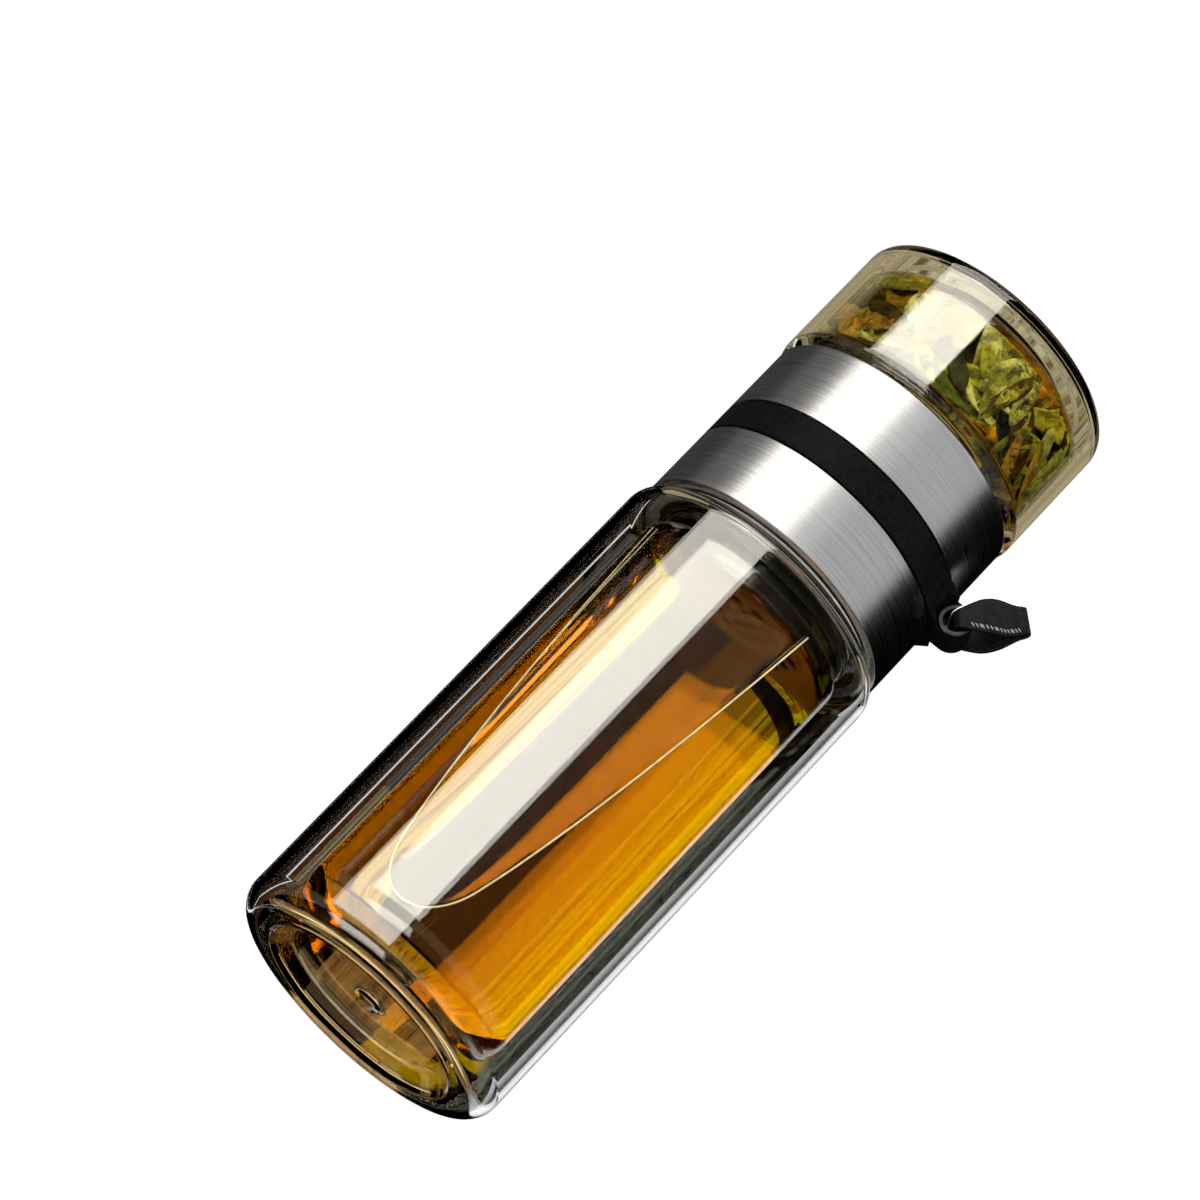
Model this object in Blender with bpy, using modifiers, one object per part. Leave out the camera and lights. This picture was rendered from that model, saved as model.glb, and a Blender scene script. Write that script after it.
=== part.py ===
"""Tea infuser bottle: a double-wall glass body, a steel neck with a strap band, and a glass cup screwed on top.

The bottle stands upright on its base ring, +Z up, with the origin at the centre of that ring.
The strap's lug points along +X. Every round piece is turned about the Z axis.
"""

import math

import bmesh
import bpy
from mathutils import Matrix, Vector

MM = 0.001

# Clearances
SEAT_GAP = 0.3 * MM
RUNNING_GAP = 0.3 * MM

# Outer glass of the body
BODY_RADIUS = 32.5 * MM
BODY_WALL = 1.8 * MM
BASE_CORNER = 5.3 * MM
SHOULDER_CORNER = 4.2 * MM
SHOULDER_HEIGHT = 122.6 * MM
GLASS_NECK_RISE = 4.6 * MM
GLASS_NECK_WALL = 1.6 * MM
GLASS_NECK_BEND = 1.0 * MM
GLASS_BEND = 1.5 * MM
BASE_RING_WIDTH = 3.4 * MM
BASE_HOLLOW = 3.2 * MM
BASE_HOLLOW_SLOPE = 4.2 * MM

# Inner glass of the body
TUBE_RADIUS = 23.7 * MM
TUBE_WALL = 1.6 * MM
TUBE_CORNER = 7.0 * MM
TUBE_FLOOR_HEIGHT = 8.0 * MM
TUBE_SPACE = 5.0 * MM
TUBE_NECK_DROP = 1.8 * MM
TUBE_NECK_SLOPE = 3.0 * MM
TUBE_NECK_BEND = 2.5 * MM
MOUTH_RISE = 9.45 * MM

# Sealing tips that close the glass where it was drawn off
TIP_RADIUS = 2.7 * MM
TIP_FLANGE = 1.4 * MM
TIP_FLANGE_THICKNESS = 0.8 * MM
TIP_STICK_OUT = 1.3 * MM
TIP_EDGE = 0.3 * MM

# Steel collars
COLLAR_RADIUS = 30.8 * MM
COLLAR_WALL = 1.3 * MM
COLLAR_LIP = 0.8 * MM
LOWER_LIP_WIDTH = 1.5 * MM
LOWER_COLLAR_HEIGHT = 16.4 * MM
UPPER_COLLAR_HEIGHT = 17.25 * MM
SHOULDER_GASKET_THICKNESS = 0.7 * MM
SHOULDER_GASKET_WIDTH = 2.2 * MM
SHOULDER_GASKET_CLEARANCE = 0.5 * MM

# Threaded neck insert
INSERT_WALL = 1.6 * MM
INSERT_SKIRT_WALL = 1.8 * MM
INSERT_WEB = 2.2 * MM
INSERT_BELOW_MOUTH = 1.0 * MM
JOURNAL_STEP = 1.5 * MM
STOP_BEAD = 0.8 * MM
STOP_BEAD_HEIGHT = 0.6 * MM

# Two-start thread
THREAD_LEAD = 6.0 * MM
THREAD_STARTS = 2
THREAD_DEPTH = 1.3 * MM
THREAD_BASE = 1.5 * MM
THREAD_CREST = 0.8 * MM
THREAD_ROOT_GAP = 0.4 * MM
MALE_TURNS = 0.9
FEMALE_TURNS = 0.5
THREAD_EMBED = 0.5 * MM
THREAD_RUN_IN = 0.2 * MM

# Strap band, its lug and the eyelet in the lug
BAND_HEIGHT = 7.85 * MM
LUG_REACH = 34.7 * MM
LUG_THICKNESS = 7.2 * MM
LUG_FLANK_ANGLE = 23.0
LUG_ROOT_WALL = 0.4 * MM
LUG_FLANK_INSET = 0.3 * MM
LUG_CHEEK_BACK = 0.5 * MM
SPOT_FACE_MARGIN = 0.6 * MM
EYELET_HOLE_RADIUS = 2.4 * MM
EYELET_WALL = 0.5 * MM
EYELET_FLANGE = 0.8 * MM
EYELET_FLANGE_THICKNESS = 0.5 * MM
EYELET_EDGE = 0.2 * MM

# Strap loop, threaded through the eyelet
STRAP_LENGTH = 15.5 * MM
STRAP_HALF_WIDTH = 4.6 * MM
STRAP_NECK_HALF_WIDTH = 1.8 * MM
STRAP_THICKNESS = 1.1 * MM
STRAP_TIP_GAP = 0.5 * MM
STRAP_BEND = 1.5 * MM
STRAP_REST_ANGLE = 48.0

# The strap's leaf shape, as shares of its length: where it is widest, where its taper starts and how much it takes
STRAP_WIDEST = 0.5
STRAP_TAPER_START = 0.62
STRAP_TAPER = 0.4
STRAP_LEGS_PART = 1 / 3
STRAP_TIP_ROUNDING = 0.7

# Cup collar liner and seals
LINER_WEB = 1.8 * MM
LINER_SKIRT = 0.9 * MM
LINER_BOTTOM_RISE = 1.05 * MM
MOUTH_GASKET_THICKNESS = 1.8 * MM
CUP_GASKET_THICKNESS = 0.8 * MM
CUP_GASKET_INSET = 0.2 * MM
WEB_OVERHANG = 0.1 * MM

# Glass cup
CUP_RADIUS = 31.4 * MM
CUP_WALL = 1.8 * MM
CUP_HEIGHT = 32.0 * MM
CUP_CORNER = 2.6 * MM
CUP_LOWER_CORNER = 2.2 * MM
CUP_STEP_BEND = 0.8 * MM
CUP_STEP_GAP = 0.6 * MM
CUP_FOOT_WALL = 1.6 * MM
CUP_LINER_WALL = 1.5 * MM
CUP_LINER_CORNER = 5.0 * MM
CUP_LINER_SPACE = 0.6 * MM
CUP_END_HOLLOW = 1.6 * MM
CUP_END_RING = 4.2 * MM
CUP_END_SPACE = 1.4 * MM

# Strainer
STRAINER_CLEARANCE = 0.8 * MM
STRAINER_RIM_WALL = 1.4 * MM
STRAINER_RIM_HEIGHT = 5.0 * MM
STRAINER_GROOVE_DEPTH = 0.8 * MM
STRAINER_GROOVE_HEIGHT = 2.0 * MM
STRAINER_SEAL_PROUD = 0.45 * MM
BASKET_WALL = 0.6 * MM
BASKET_CORNER = 2.0 * MM
BASKET_CLEARANCE = 0.4 * MM
RIM_BELOW_WEB = 0.4 * MM
BASKET_DEPTH = 48.9 * MM
BASKET_FLANGE = 1.4 * MM
FLOOR_HOLE_RADIUS = 1.5 * MM
FLOOR_HOLE_PITCH = 5.6 * MM
FLOOR_HOLE_RINGS = 2
SIDE_HOLE_RADIUS = 1.5 * MM
SIDE_HOLE_COLUMNS = 6
SIDE_HOLE_ROWS = 2
SIDE_HOLE_PITCH = 6.0 * MM

# Small edge roundings
STEEL_EDGE = 0.5 * MM
PLASTIC_EDGE = 0.4 * MM
GLASS_RIM_EDGE = 0.6 * MM
CHAMFER_LIMIT = 0.7 * MM

# Facets
SIDES = 32
SMALL_SIDES = 20
DRILL_SIDES = 8
THREAD_STEPS_PER_TURN = 24
ARC_STEP = math.radians(24.0)
MERGE_DISTANCE = 0.01 * MM

# Heights that follow from the stack of pieces
shoulder_gasket_z = SHOULDER_HEIGHT + SEAT_GAP
lower_collar_z = shoulder_gasket_z + SHOULDER_GASKET_THICKNESS + SEAT_GAP
lower_collar_top = lower_collar_z + LOWER_COLLAR_HEIGHT
band_z = lower_collar_top + RUNNING_GAP
band_top = band_z + BAND_HEIGHT
band_mid = band_z + BAND_HEIGHT / 2
upper_collar_z = band_top + RUNNING_GAP
upper_collar_top = upper_collar_z + UPPER_COLLAR_HEIGHT
mouth_z = upper_collar_z + MOUTH_RISE
mouth_gasket_z = mouth_z + SEAT_GAP
web_z = mouth_gasket_z + MOUTH_GASKET_THICKNESS + SEAT_GAP
web_top = web_z + LINER_WEB
cup_gasket_z = web_top + SEAT_GAP
cup_rim_z = cup_gasket_z + CUP_GASKET_THICKNESS + SEAT_GAP
cup_step_z = upper_collar_top + CUP_STEP_GAP
cup_top = cup_step_z + CUP_HEIGHT
liner_z = upper_collar_z + LINER_BOTTOM_RISE
male_thread_z = upper_collar_z + 2 * STOP_BEAD_HEIGHT + THREAD_BASE / 2

# Radii that follow from the nest of pieces
glass_neck_bore = TUBE_RADIUS + SEAT_GAP
glass_neck_radius = glass_neck_bore + GLASS_NECK_WALL
mouth_bore = TUBE_RADIUS - TUBE_WALL
tube_belly_radius = BODY_RADIUS - BODY_WALL - TUBE_SPACE
insert_bore = TUBE_RADIUS + SEAT_GAP
thread_root = insert_bore + INSERT_WALL
thread_crest = thread_root + THREAD_DEPTH
journal_radius = thread_root + JOURNAL_STEP
band_bore = journal_radius + RUNNING_GAP
bead_radius = journal_radius + STOP_BEAD
collar_bore = COLLAR_RADIUS - COLLAR_WALL
liner_radius = collar_bore - SEAT_GAP
female_root = thread_crest + THREAD_ROOT_GAP
female_crest = thread_root + THREAD_ROOT_GAP
web_bore = mouth_bore - WEB_OVERHANG
seal_radius = mouth_bore - STRAINER_CLEARANCE + STRAINER_SEAL_PROUD
foot_radius = liner_radius - LINER_SKIRT - SEAT_GAP
foot_bore = foot_radius - CUP_FOOT_WALL
cup_liner_radius = foot_bore - SEAT_GAP
cup_bore = cup_liner_radius - CUP_LINER_WALL
cup_belly_radius = CUP_RADIUS - CUP_WALL - CUP_LINER_SPACE
rim_radius = mouth_bore - STRAINER_CLEARANCE
rim_bore = rim_radius - STRAINER_RIM_WALL
basket_radius = rim_bore - BASKET_CLEARANCE
rim_top = web_top - RIM_BELOW_WEB
rim_z = rim_top - STRAINER_RIM_HEIGHT
lug_root = band_bore + LUG_ROOT_WALL
lug_half = LUG_THICKNESS / 2
eyelet_face = lug_half + SEAT_GAP + EYELET_FLANGE_THICKNESS
lug_hole_radius = EYELET_HOLE_RADIUS + EYELET_WALL + SEAT_GAP
spot_face_radius = BAND_HEIGHT / 2 + SPOT_FACE_MARGIN


def clear_scene():
    for obj in list(bpy.data.objects):
        bpy.data.objects.remove(obj, do_unlink=True)


def new_collection(name, hidden=False):
    collection = bpy.data.collections.new(name)
    bpy.context.scene.collection.children.link(collection)
    collection.hide_render = hidden
    return collection


def material(name, colour, roughness, metallic=0.0, transmission=0.0):
    made = bpy.data.materials.new(name)
    made.use_nodes = True
    shader = made.node_tree.nodes["Principled BSDF"]
    shader.inputs["Base Color"].default_value = (*colour, 1.0)
    shader.inputs["Roughness"].default_value = roughness
    shader.inputs["Metallic"].default_value = metallic
    shader.inputs["Transmission Weight"].default_value = transmission
    return made


def shade_smooth(mesh):
    mesh.shade_smooth()
    mesh.set_sharp_from_angle(angle=math.radians(35))


def add_object(name, mesh, collection, look=None):
    obj = bpy.data.objects.new(name, mesh)
    collection.objects.link(obj)
    if look:
        mesh.materials.append(look)
    return obj


def rounded(corners, closed):
    """A profile's points, from its corners as (radius, height, rounding). A small rounding is one chamfer."""
    points = []
    count = len(corners)
    for i, (radius, height, rounding) in enumerate(corners):
        here = Vector((radius, height))
        if rounding == 0 or (not closed and i in (0, count - 1)):
            points.append(here)
            continue
        before = Vector(corners[i - 1][:2]) - here
        after = Vector(corners[(i + 1) % count][:2]) - here
        half = before.angle(after) / 2
        cut = rounding / math.tan(half)
        bend = math.pi - 2 * half
        centre = here + (before.normalized() + after.normalized()).normalized() * rounding / math.sin(half)
        steps = 1 if rounding < CHAMFER_LIMIT else max(2, round(bend / ARC_STEP))
        start = here + before.normalized() * cut - centre
        turn = 1 if before.x * after.y - before.y * after.x < 0 else -1
        for step in range(steps + 1):
            angle = turn * bend * step / steps
            points.append(centre + Matrix.Rotation(angle, 2) @ start)
    return points


def turned(name, corners, look, collection, closed=True, sides=SIDES):
    """A piece turned about Z. A closed profile is a ring, and an open one starts and ends on the axis."""
    points = rounded(corners, closed)
    mesh = bpy.data.meshes.new(name)
    edges = [(i, i + 1) for i in range(len(points) - 1)]
    if closed:
        edges.append((len(points) - 1, 0))
    mesh.from_pydata([(p.x, 0.0, p.y) for p in points], edges, [])
    obj = add_object(name, mesh, collection, look)
    screw = obj.modifiers.new("Turn", "SCREW")
    screw.axis = "Z"
    screw.angle = math.tau
    screw.steps = sides
    screw.render_steps = sides
    screw.use_merge_vertices = True
    screw.merge_threshold = MERGE_DISTANCE
    screw.use_smooth_shade = True
    return obj


def lofted(name, sections, closed):
    """A mesh through sections of equally many points. An open run gets flat ends."""
    count = len(sections[0])
    work = bmesh.new()
    rows = [[work.verts.new(point) for point in section] for section in sections]
    last = len(rows) if closed else len(rows) - 1
    for i in range(last):
        here, there = rows[i], rows[(i + 1) % len(rows)]
        for j in range(count):
            k = (j + 1) % count
            work.faces.new((here[j], here[k], there[k], there[j]))
    if not closed:
        work.faces.new(list(reversed(rows[0])))
        work.faces.new(rows[-1])
    bmesh.ops.recalc_face_normals(work, faces=work.faces)
    mesh = bpy.data.meshes.new(name)
    work.to_mesh(mesh)
    work.free()
    return mesh


def helper(name, mesh):
    obj = add_object(name, mesh, helpers)
    obj.hide_render = True
    obj.display_type = "WIRE"
    return obj


def boolean(obj, other, operation):
    modifier = obj.modifiers.new(f"{operation.title()} {other.name}", "BOOLEAN")
    modifier.operation = operation
    modifier.object = other
    modifier.solver = "EXACT"


def cylinder_mesh(name, radius, length, matrix, sides=SMALL_SIDES):
    work = bmesh.new()
    bmesh.ops.create_cone(
        work, cap_ends=True, segments=sides, radius1=radius, radius2=radius, depth=length, matrix=matrix
    )
    mesh = bpy.data.meshes.new(name)
    work.to_mesh(mesh)
    work.free()
    return mesh


def along_y(x, y, z):
    return Matrix.Translation((x, y, z)) @ Matrix.Rotation(math.pi / 2, 4, "X")


def joined(name, meshes):
    """Separate closed bodies in one mesh, to cut with at once."""
    work = bmesh.new()
    for mesh in meshes:
        work.from_mesh(mesh)
    mesh = bpy.data.meshes.new(name)
    work.to_mesh(mesh)
    work.free()
    return mesh


def thread_ridge(name, inner, outer, first_height, first_angle, turns, crest_outside):
    """One start of the thread, as a trapezoid swept up a helix."""
    steps = round(THREAD_STEPS_PER_TURN * turns)
    base_radius, crest_radius = (inner, outer) if crest_outside else (outer, inner)
    sections = []
    for step in range(steps + 1):
        angle = first_angle + math.tau * turns * step / steps
        height = first_height + THREAD_LEAD * turns * step / steps
        across = Vector((math.cos(angle), math.sin(angle), 0))
        sections.append(
            [
                across * base_radius + Vector((0, 0, height - THREAD_BASE / 2)),
                across * crest_radius + Vector((0, 0, height - THREAD_CREST / 2)),
                across * crest_radius + Vector((0, 0, height + THREAD_CREST / 2)),
                across * base_radius + Vector((0, 0, height + THREAD_BASE / 2)),
            ]
        )
    return lofted(name, sections, closed=False)


# Body glass


def make_outer_glass():
    inside = BODY_RADIUS - BODY_WALL
    ring_inner = BODY_RADIUS - BASE_CORNER - BASE_RING_WIDTH
    slope_inner = ring_inner - BASE_HOLLOW_SLOPE
    hole = TIP_RADIUS + SEAT_GAP
    neck_top = SHOULDER_HEIGHT + GLASS_NECK_RISE
    corners = [
        (glass_neck_radius, neck_top, GLASS_RIM_EDGE),
        (glass_neck_radius, SHOULDER_HEIGHT, GLASS_NECK_BEND),
        (BODY_RADIUS, SHOULDER_HEIGHT, SHOULDER_CORNER),
        (BODY_RADIUS, 0, BASE_CORNER),
        (ring_inner, 0, GLASS_BEND),
        (slope_inner, BASE_HOLLOW, GLASS_BEND),
        (hole, BASE_HOLLOW, 0),
        (hole, BASE_HOLLOW + BODY_WALL, 0),
        (slope_inner, BASE_HOLLOW + BODY_WALL, GLASS_BEND),
        (ring_inner, BODY_WALL, GLASS_BEND),
        (inside, BODY_WALL, BASE_CORNER - BODY_WALL),
        (inside, SHOULDER_HEIGHT - BODY_WALL, SHOULDER_CORNER - BODY_WALL),
        (glass_neck_bore, SHOULDER_HEIGHT - BODY_WALL, GLASS_NECK_BEND),
        (glass_neck_bore, neck_top, GLASS_RIM_EDGE),
    ]
    return turned("outer_glass_wall", corners, glass, bottle)


def make_inner_glass():
    floor = TUBE_FLOOR_HEIGHT
    neck_z = SHOULDER_HEIGHT - BODY_WALL - TUBE_NECK_DROP
    belly_z = neck_z - TUBE_NECK_SLOPE
    belly_bore = tube_belly_radius - TUBE_WALL
    corners = [
        (0, floor + TUBE_WALL, 0),
        (belly_bore, floor + TUBE_WALL, TUBE_CORNER - TUBE_WALL),
        (belly_bore, belly_z, 0),
        (mouth_bore, neck_z, 0),
        (mouth_bore, mouth_z, GLASS_RIM_EDGE),
        (TUBE_RADIUS, mouth_z, GLASS_RIM_EDGE),
        (TUBE_RADIUS, neck_z, TUBE_NECK_BEND),
        (tube_belly_radius, belly_z, TUBE_NECK_BEND),
        (tube_belly_radius, floor, TUBE_CORNER),
        (0, floor, 0),
    ]
    return turned("inner_glass_wall", corners, glass, bottle, closed=False)


def make_base_tip():
    seat = BASE_HOLLOW + BODY_WALL + SEAT_GAP
    end = BASE_HOLLOW - TIP_STICK_OUT
    corners = [
        (0, seat + TIP_FLANGE_THICKNESS, 0),
        (TIP_RADIUS + TIP_FLANGE, seat + TIP_FLANGE_THICKNESS, TIP_EDGE),
        (TIP_RADIUS + TIP_FLANGE, seat, 0),
        (TIP_RADIUS, seat, 0),
        (TIP_RADIUS, end, TIP_RADIUS / 2),
        (0, end, 0),
    ]
    return turned("base_seal_tip", corners, glass, bottle, closed=False, sides=SMALL_SIDES)


# Neck, fixed to the body


def make_shoulder_gasket():
    inner = glass_neck_radius + SHOULDER_GASKET_CLEARANCE
    outer = inner + SHOULDER_GASKET_WIDTH
    top = shoulder_gasket_z + SHOULDER_GASKET_THICKNESS
    corners = [(outer, top, 0), (outer, shoulder_gasket_z, 0), (inner, shoulder_gasket_z, 0), (inner, top, 0)]
    return turned("shoulder_gasket", corners, silicone, bottle)


def make_lower_collar():
    lip_inner = collar_bore - LOWER_LIP_WIDTH
    lip_top = lower_collar_z + COLLAR_LIP
    corners = [
        (COLLAR_RADIUS, lower_collar_top, STEEL_EDGE),
        (COLLAR_RADIUS, lower_collar_z, STEEL_EDGE),
        (lip_inner, lower_collar_z, 0),
        (lip_inner, lip_top, 0),
        (collar_bore, lip_top, 0),
        (collar_bore, lower_collar_top, 0),
    ]
    return turned("lower_collar", corners, steel, bottle)


def make_neck_insert():
    top = mouth_z - INSERT_BELOW_MOUTH
    bead_z = upper_collar_z
    bead_top = bead_z + STOP_BEAD_HEIGHT
    flange_top = lower_collar_top - SEAT_GAP
    skirt_z = lower_collar_z + COLLAR_LIP + SEAT_GAP
    skirt_bore = liner_radius - INSERT_SKIRT_WALL
    web_bottom = flange_top - INSERT_WEB
    corners = [
        (thread_root, top, PLASTIC_EDGE),
        (thread_root, bead_top + STOP_BEAD_HEIGHT, 0),
        (bead_radius, bead_top, 0),
        (bead_radius, bead_z, 0),
        (journal_radius, bead_z, 0),
        (journal_radius, flange_top, 0),
        (liner_radius, flange_top, PLASTIC_EDGE),
        (liner_radius, skirt_z, PLASTIC_EDGE),
        (skirt_bore, skirt_z, 0),
        (skirt_bore, web_bottom, 0),
        (insert_bore, web_bottom, 0),
        (insert_bore, top, 0),
    ]
    obj = turned("neck_insert", corners, black_plastic, bottle)
    for start in range(THREAD_STARTS):
        angle = math.tau * start / THREAD_STARTS
        name = f"male_ridge_{start + 1}"
        inner = thread_root - THREAD_EMBED
        ridge = thread_ridge(name, inner, thread_crest, male_thread_z, angle, MALE_TURNS, crest_outside=True)
        boolean(obj, helper(name, ridge), "UNION")
    return obj


# Strap band with its lug, eyelet and strap


def make_strap_band():
    ring = [
        (COLLAR_RADIUS, band_top, STEEL_EDGE),
        (COLLAR_RADIUS, band_z, STEEL_EDGE),
        (band_bore, band_z, 0),
        (band_bore, band_top, 0),
    ]
    obj = turned("strap_band", ring, black_plastic, bottle)
    obj.parent = band_swivel
    lug = helper("lug_side_view", lug_side_view())
    boolean(lug, helper("lug_top_view", lug_top_view()), "INTERSECT")
    boolean(obj, lug, "UNION")
    hole = cylinder_mesh("lug_hole", lug_hole_radius, 4 * LUG_THICKNESS, along_y(LUG_REACH, 0, band_mid))
    faces = [hole]
    for side in (-1, 1):
        middle = side * (lug_half + COLLAR_RADIUS / 2)
        faces.append(
            cylinder_mesh("spot_face", spot_face_radius, COLLAR_RADIUS, along_y(LUG_REACH, middle, band_mid))
        )
    for i, mesh in enumerate(faces):
        boolean(obj, helper(f"lug_cutter_{i + 1}", mesh), "DIFFERENCE")
    return obj


def lug_side_view():
    """The lug seen along Y: as high as the band, with a half-round nose about the eyelet."""
    half_height = BAND_HEIGHT / 2
    outline = [(lug_root, -half_height)]
    for step in range(11):
        angle = math.pi * (step / 10 - 0.5)
        outline.append((LUG_REACH + half_height * math.cos(angle), half_height * math.sin(angle)))
    outline.append((lug_root, half_height))
    sections = [
        [Vector((x, side * COLLAR_RADIUS, band_mid + z)) for x, z in outline] for side in (-1, 1)
    ]
    return lofted("lug_side_view", sections, closed=False)


def lug_top_view():
    """The lug seen from above: straight flanks that leave the band at the flank angle."""
    flank = math.radians(LUG_FLANK_ANGLE)
    inside = COLLAR_RADIUS - LUG_FLANK_INSET
    root_x, root_y = inside * math.cos(flank), inside * math.sin(flank)
    nose = LUG_REACH + BAND_HEIGHT
    corner = LUG_REACH - LUG_CHEEK_BACK
    right = [(lug_root, -root_y), (root_x, -root_y), (corner, -lug_half), (nose, -lug_half)]
    outline = right + [(x, -y) for x, y in reversed(right)]
    sections = [
        [Vector((x, y, band_mid + side * BAND_HEIGHT)) for x, y in outline] for side in (-1, 1)
    ]
    return lofted("lug_top_view", sections, closed=False)


def make_eyelet():
    """A flanged tube pressed into the lug, turned about its own axis and laid along Y."""
    tube = EYELET_HOLE_RADIUS + EYELET_WALL
    flange = tube + EYELET_FLANGE
    inner_face = lug_half + SEAT_GAP
    corners = [
        (flange, eyelet_face, EYELET_EDGE),
        (flange, inner_face, 0),
        (tube, inner_face, 0),
        (tube, -inner_face, 0),
        (flange, -inner_face, 0),
        (flange, -eyelet_face, EYELET_EDGE),
        (EYELET_HOLE_RADIUS, -eyelet_face, EYELET_EDGE),
        (EYELET_HOLE_RADIUS, eyelet_face, EYELET_EDGE),
    ]
    obj = turned("lug_eyelet", corners, black_metal, bottle, sides=SMALL_SIDES)
    obj.parent = band_swivel
    obj.location = (LUG_REACH, 0, band_mid)
    obj.rotation_euler = (math.pi / 2, 0, 0)
    return obj


def smooth(share):
    share = min(max(share, 0), 1)
    return share * share * (3 - 2 * share)


def strap_half_width(out):
    """Half of the strap's width at a distance out from the eyelet: narrow in it, widest past the middle."""
    share = out / STRAP_LENGTH
    taper = smooth((share - STRAP_TAPER_START) / (1 - STRAP_TAPER_START))
    leaf = smooth(share / STRAP_WIDEST) * (1 - STRAP_TAPER * taper)
    return STRAP_NECK_HALF_WIDTH + (STRAP_HALF_WIDTH - STRAP_NECK_HALF_WIDTH) * leaf


def strap_route():
    """The loop's centre line seen edge-on, as (out from the eyelet's axis, along that axis)."""
    leg = eyelet_face + SEAT_GAP + STRAP_THICKNESS / 2
    tip = STRAP_THICKNESS / 2 + STRAP_TIP_GAP
    half = [(0, 0), (0, leg / 2), (0, leg - STRAP_BEND)]
    for step in range(1, 4):
        angle = math.pi / 2 * step / 3
        half.append((STRAP_BEND * (1 - math.cos(angle)), leg - STRAP_BEND * (1 - math.sin(angle))))
    straight = STRAP_LENGTH * STRAP_LEGS_PART
    closed_at = STRAP_LENGTH - tip
    for step in range(1, 9):
        out = STRAP_BEND + (closed_at - STRAP_BEND) * step / 8
        drop = smooth((out - straight) / (closed_at - straight))
        half.append((out, leg + (tip - leg) * drop))
    half.append((STRAP_LENGTH - tip * (1 - STRAP_TIP_ROUNDING), tip * STRAP_TIP_ROUNDING))
    back = [(out, -along) for out, along in reversed(half[1:])]
    return half + [(STRAP_LENGTH, 0)] + back


def make_strap_loop():
    route = [Vector((out, along, 0)) for out, along in strap_route()]
    count = len(route)
    thick = STRAP_THICKNESS / 2
    edge = STRAP_THICKNESS / 4
    sections = []
    for i, centre in enumerate(route):
        run = (route[(i + 1) % count] - route[i - 1]).normalized()
        across = Vector((-run.y, run.x, 0))
        wide = strap_half_width(centre.x)
        outline = [(thick, wide - edge), (thick - edge, wide), (edge - thick, wide), (-thick, wide - edge)]
        outline += [(-a, -b) for a, b in outline]
        sections.append([centre + across * a + Vector((0, 0, b)) for a, b in outline])
    mesh = lofted("strap_loop", sections, closed=True)
    obj = add_object("strap_loop", mesh, bottle, leather)
    shade_smooth(mesh)
    obj.parent = strap_hinge
    obj.rotation_euler = (0, -math.radians(STRAP_REST_ANGLE), 0)
    return obj


# Cup collar, its liner and seals


def make_upper_collar():
    lip_inner = foot_radius + SEAT_GAP
    lip_z = upper_collar_top - COLLAR_LIP
    corners = [
        (COLLAR_RADIUS, upper_collar_top, STEEL_EDGE),
        (COLLAR_RADIUS, upper_collar_z, STEEL_EDGE),
        (collar_bore, upper_collar_z, 0),
        (collar_bore, lip_z, 0),
        (lip_inner, lip_z, 0),
        (lip_inner, upper_collar_top, 0),
    ]
    return turned("upper_collar", corners, steel, bottle)


def make_collar_liner():
    top = upper_collar_top - COLLAR_LIP - SEAT_GAP
    skirt_bore = foot_radius + SEAT_GAP
    corners = [
        (liner_radius, top, 0),
        (liner_radius, liner_z, PLASTIC_EDGE),
        (female_root, liner_z, PLASTIC_EDGE),
        (female_root, web_z, 0),
        (web_bore, web_z, 0),
        (web_bore, web_top, 0),
        (skirt_bore, web_top, 0),
        (skirt_bore, top, 0),
    ]
    obj = turned("collar_liner", corners, black_plastic, bottle)
    first = liner_z + THREAD_BASE / 2 + THREAD_RUN_IN
    half_pitch = THREAD_LEAD / THREAD_STARTS / 2
    in_mesh = math.tau * (first - male_thread_z - half_pitch) / THREAD_LEAD
    for start in range(THREAD_STARTS):
        angle = in_mesh + math.tau * start / THREAD_STARTS
        name = f"female_ridge_{start + 1}"
        outer = female_root + THREAD_EMBED
        ridge = thread_ridge(name, female_crest, outer, first, angle, FEMALE_TURNS, crest_outside=False)
        boolean(obj, helper(name, ridge), "UNION")
    return obj


def make_mouth_gasket():
    outer = female_root - SEAT_GAP
    inner = seal_radius + SEAT_GAP
    top = mouth_gasket_z + MOUTH_GASKET_THICKNESS
    corners = [(outer, top, 0), (outer, mouth_gasket_z, 0), (inner, mouth_gasket_z, 0), (inner, top, 0)]
    return turned("mouth_gasket", corners, silicone, bottle)


def make_cup_gasket():
    inner = cup_bore + CUP_GASKET_INSET
    top = cup_gasket_z + CUP_GASKET_THICKNESS
    corners = [(foot_radius, top, 0), (foot_radius, cup_gasket_z, 0), (inner, cup_gasket_z, 0), (inner, top, 0)]
    return turned("cup_gasket", corners, silicone, bottle)


# Cup glass


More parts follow.
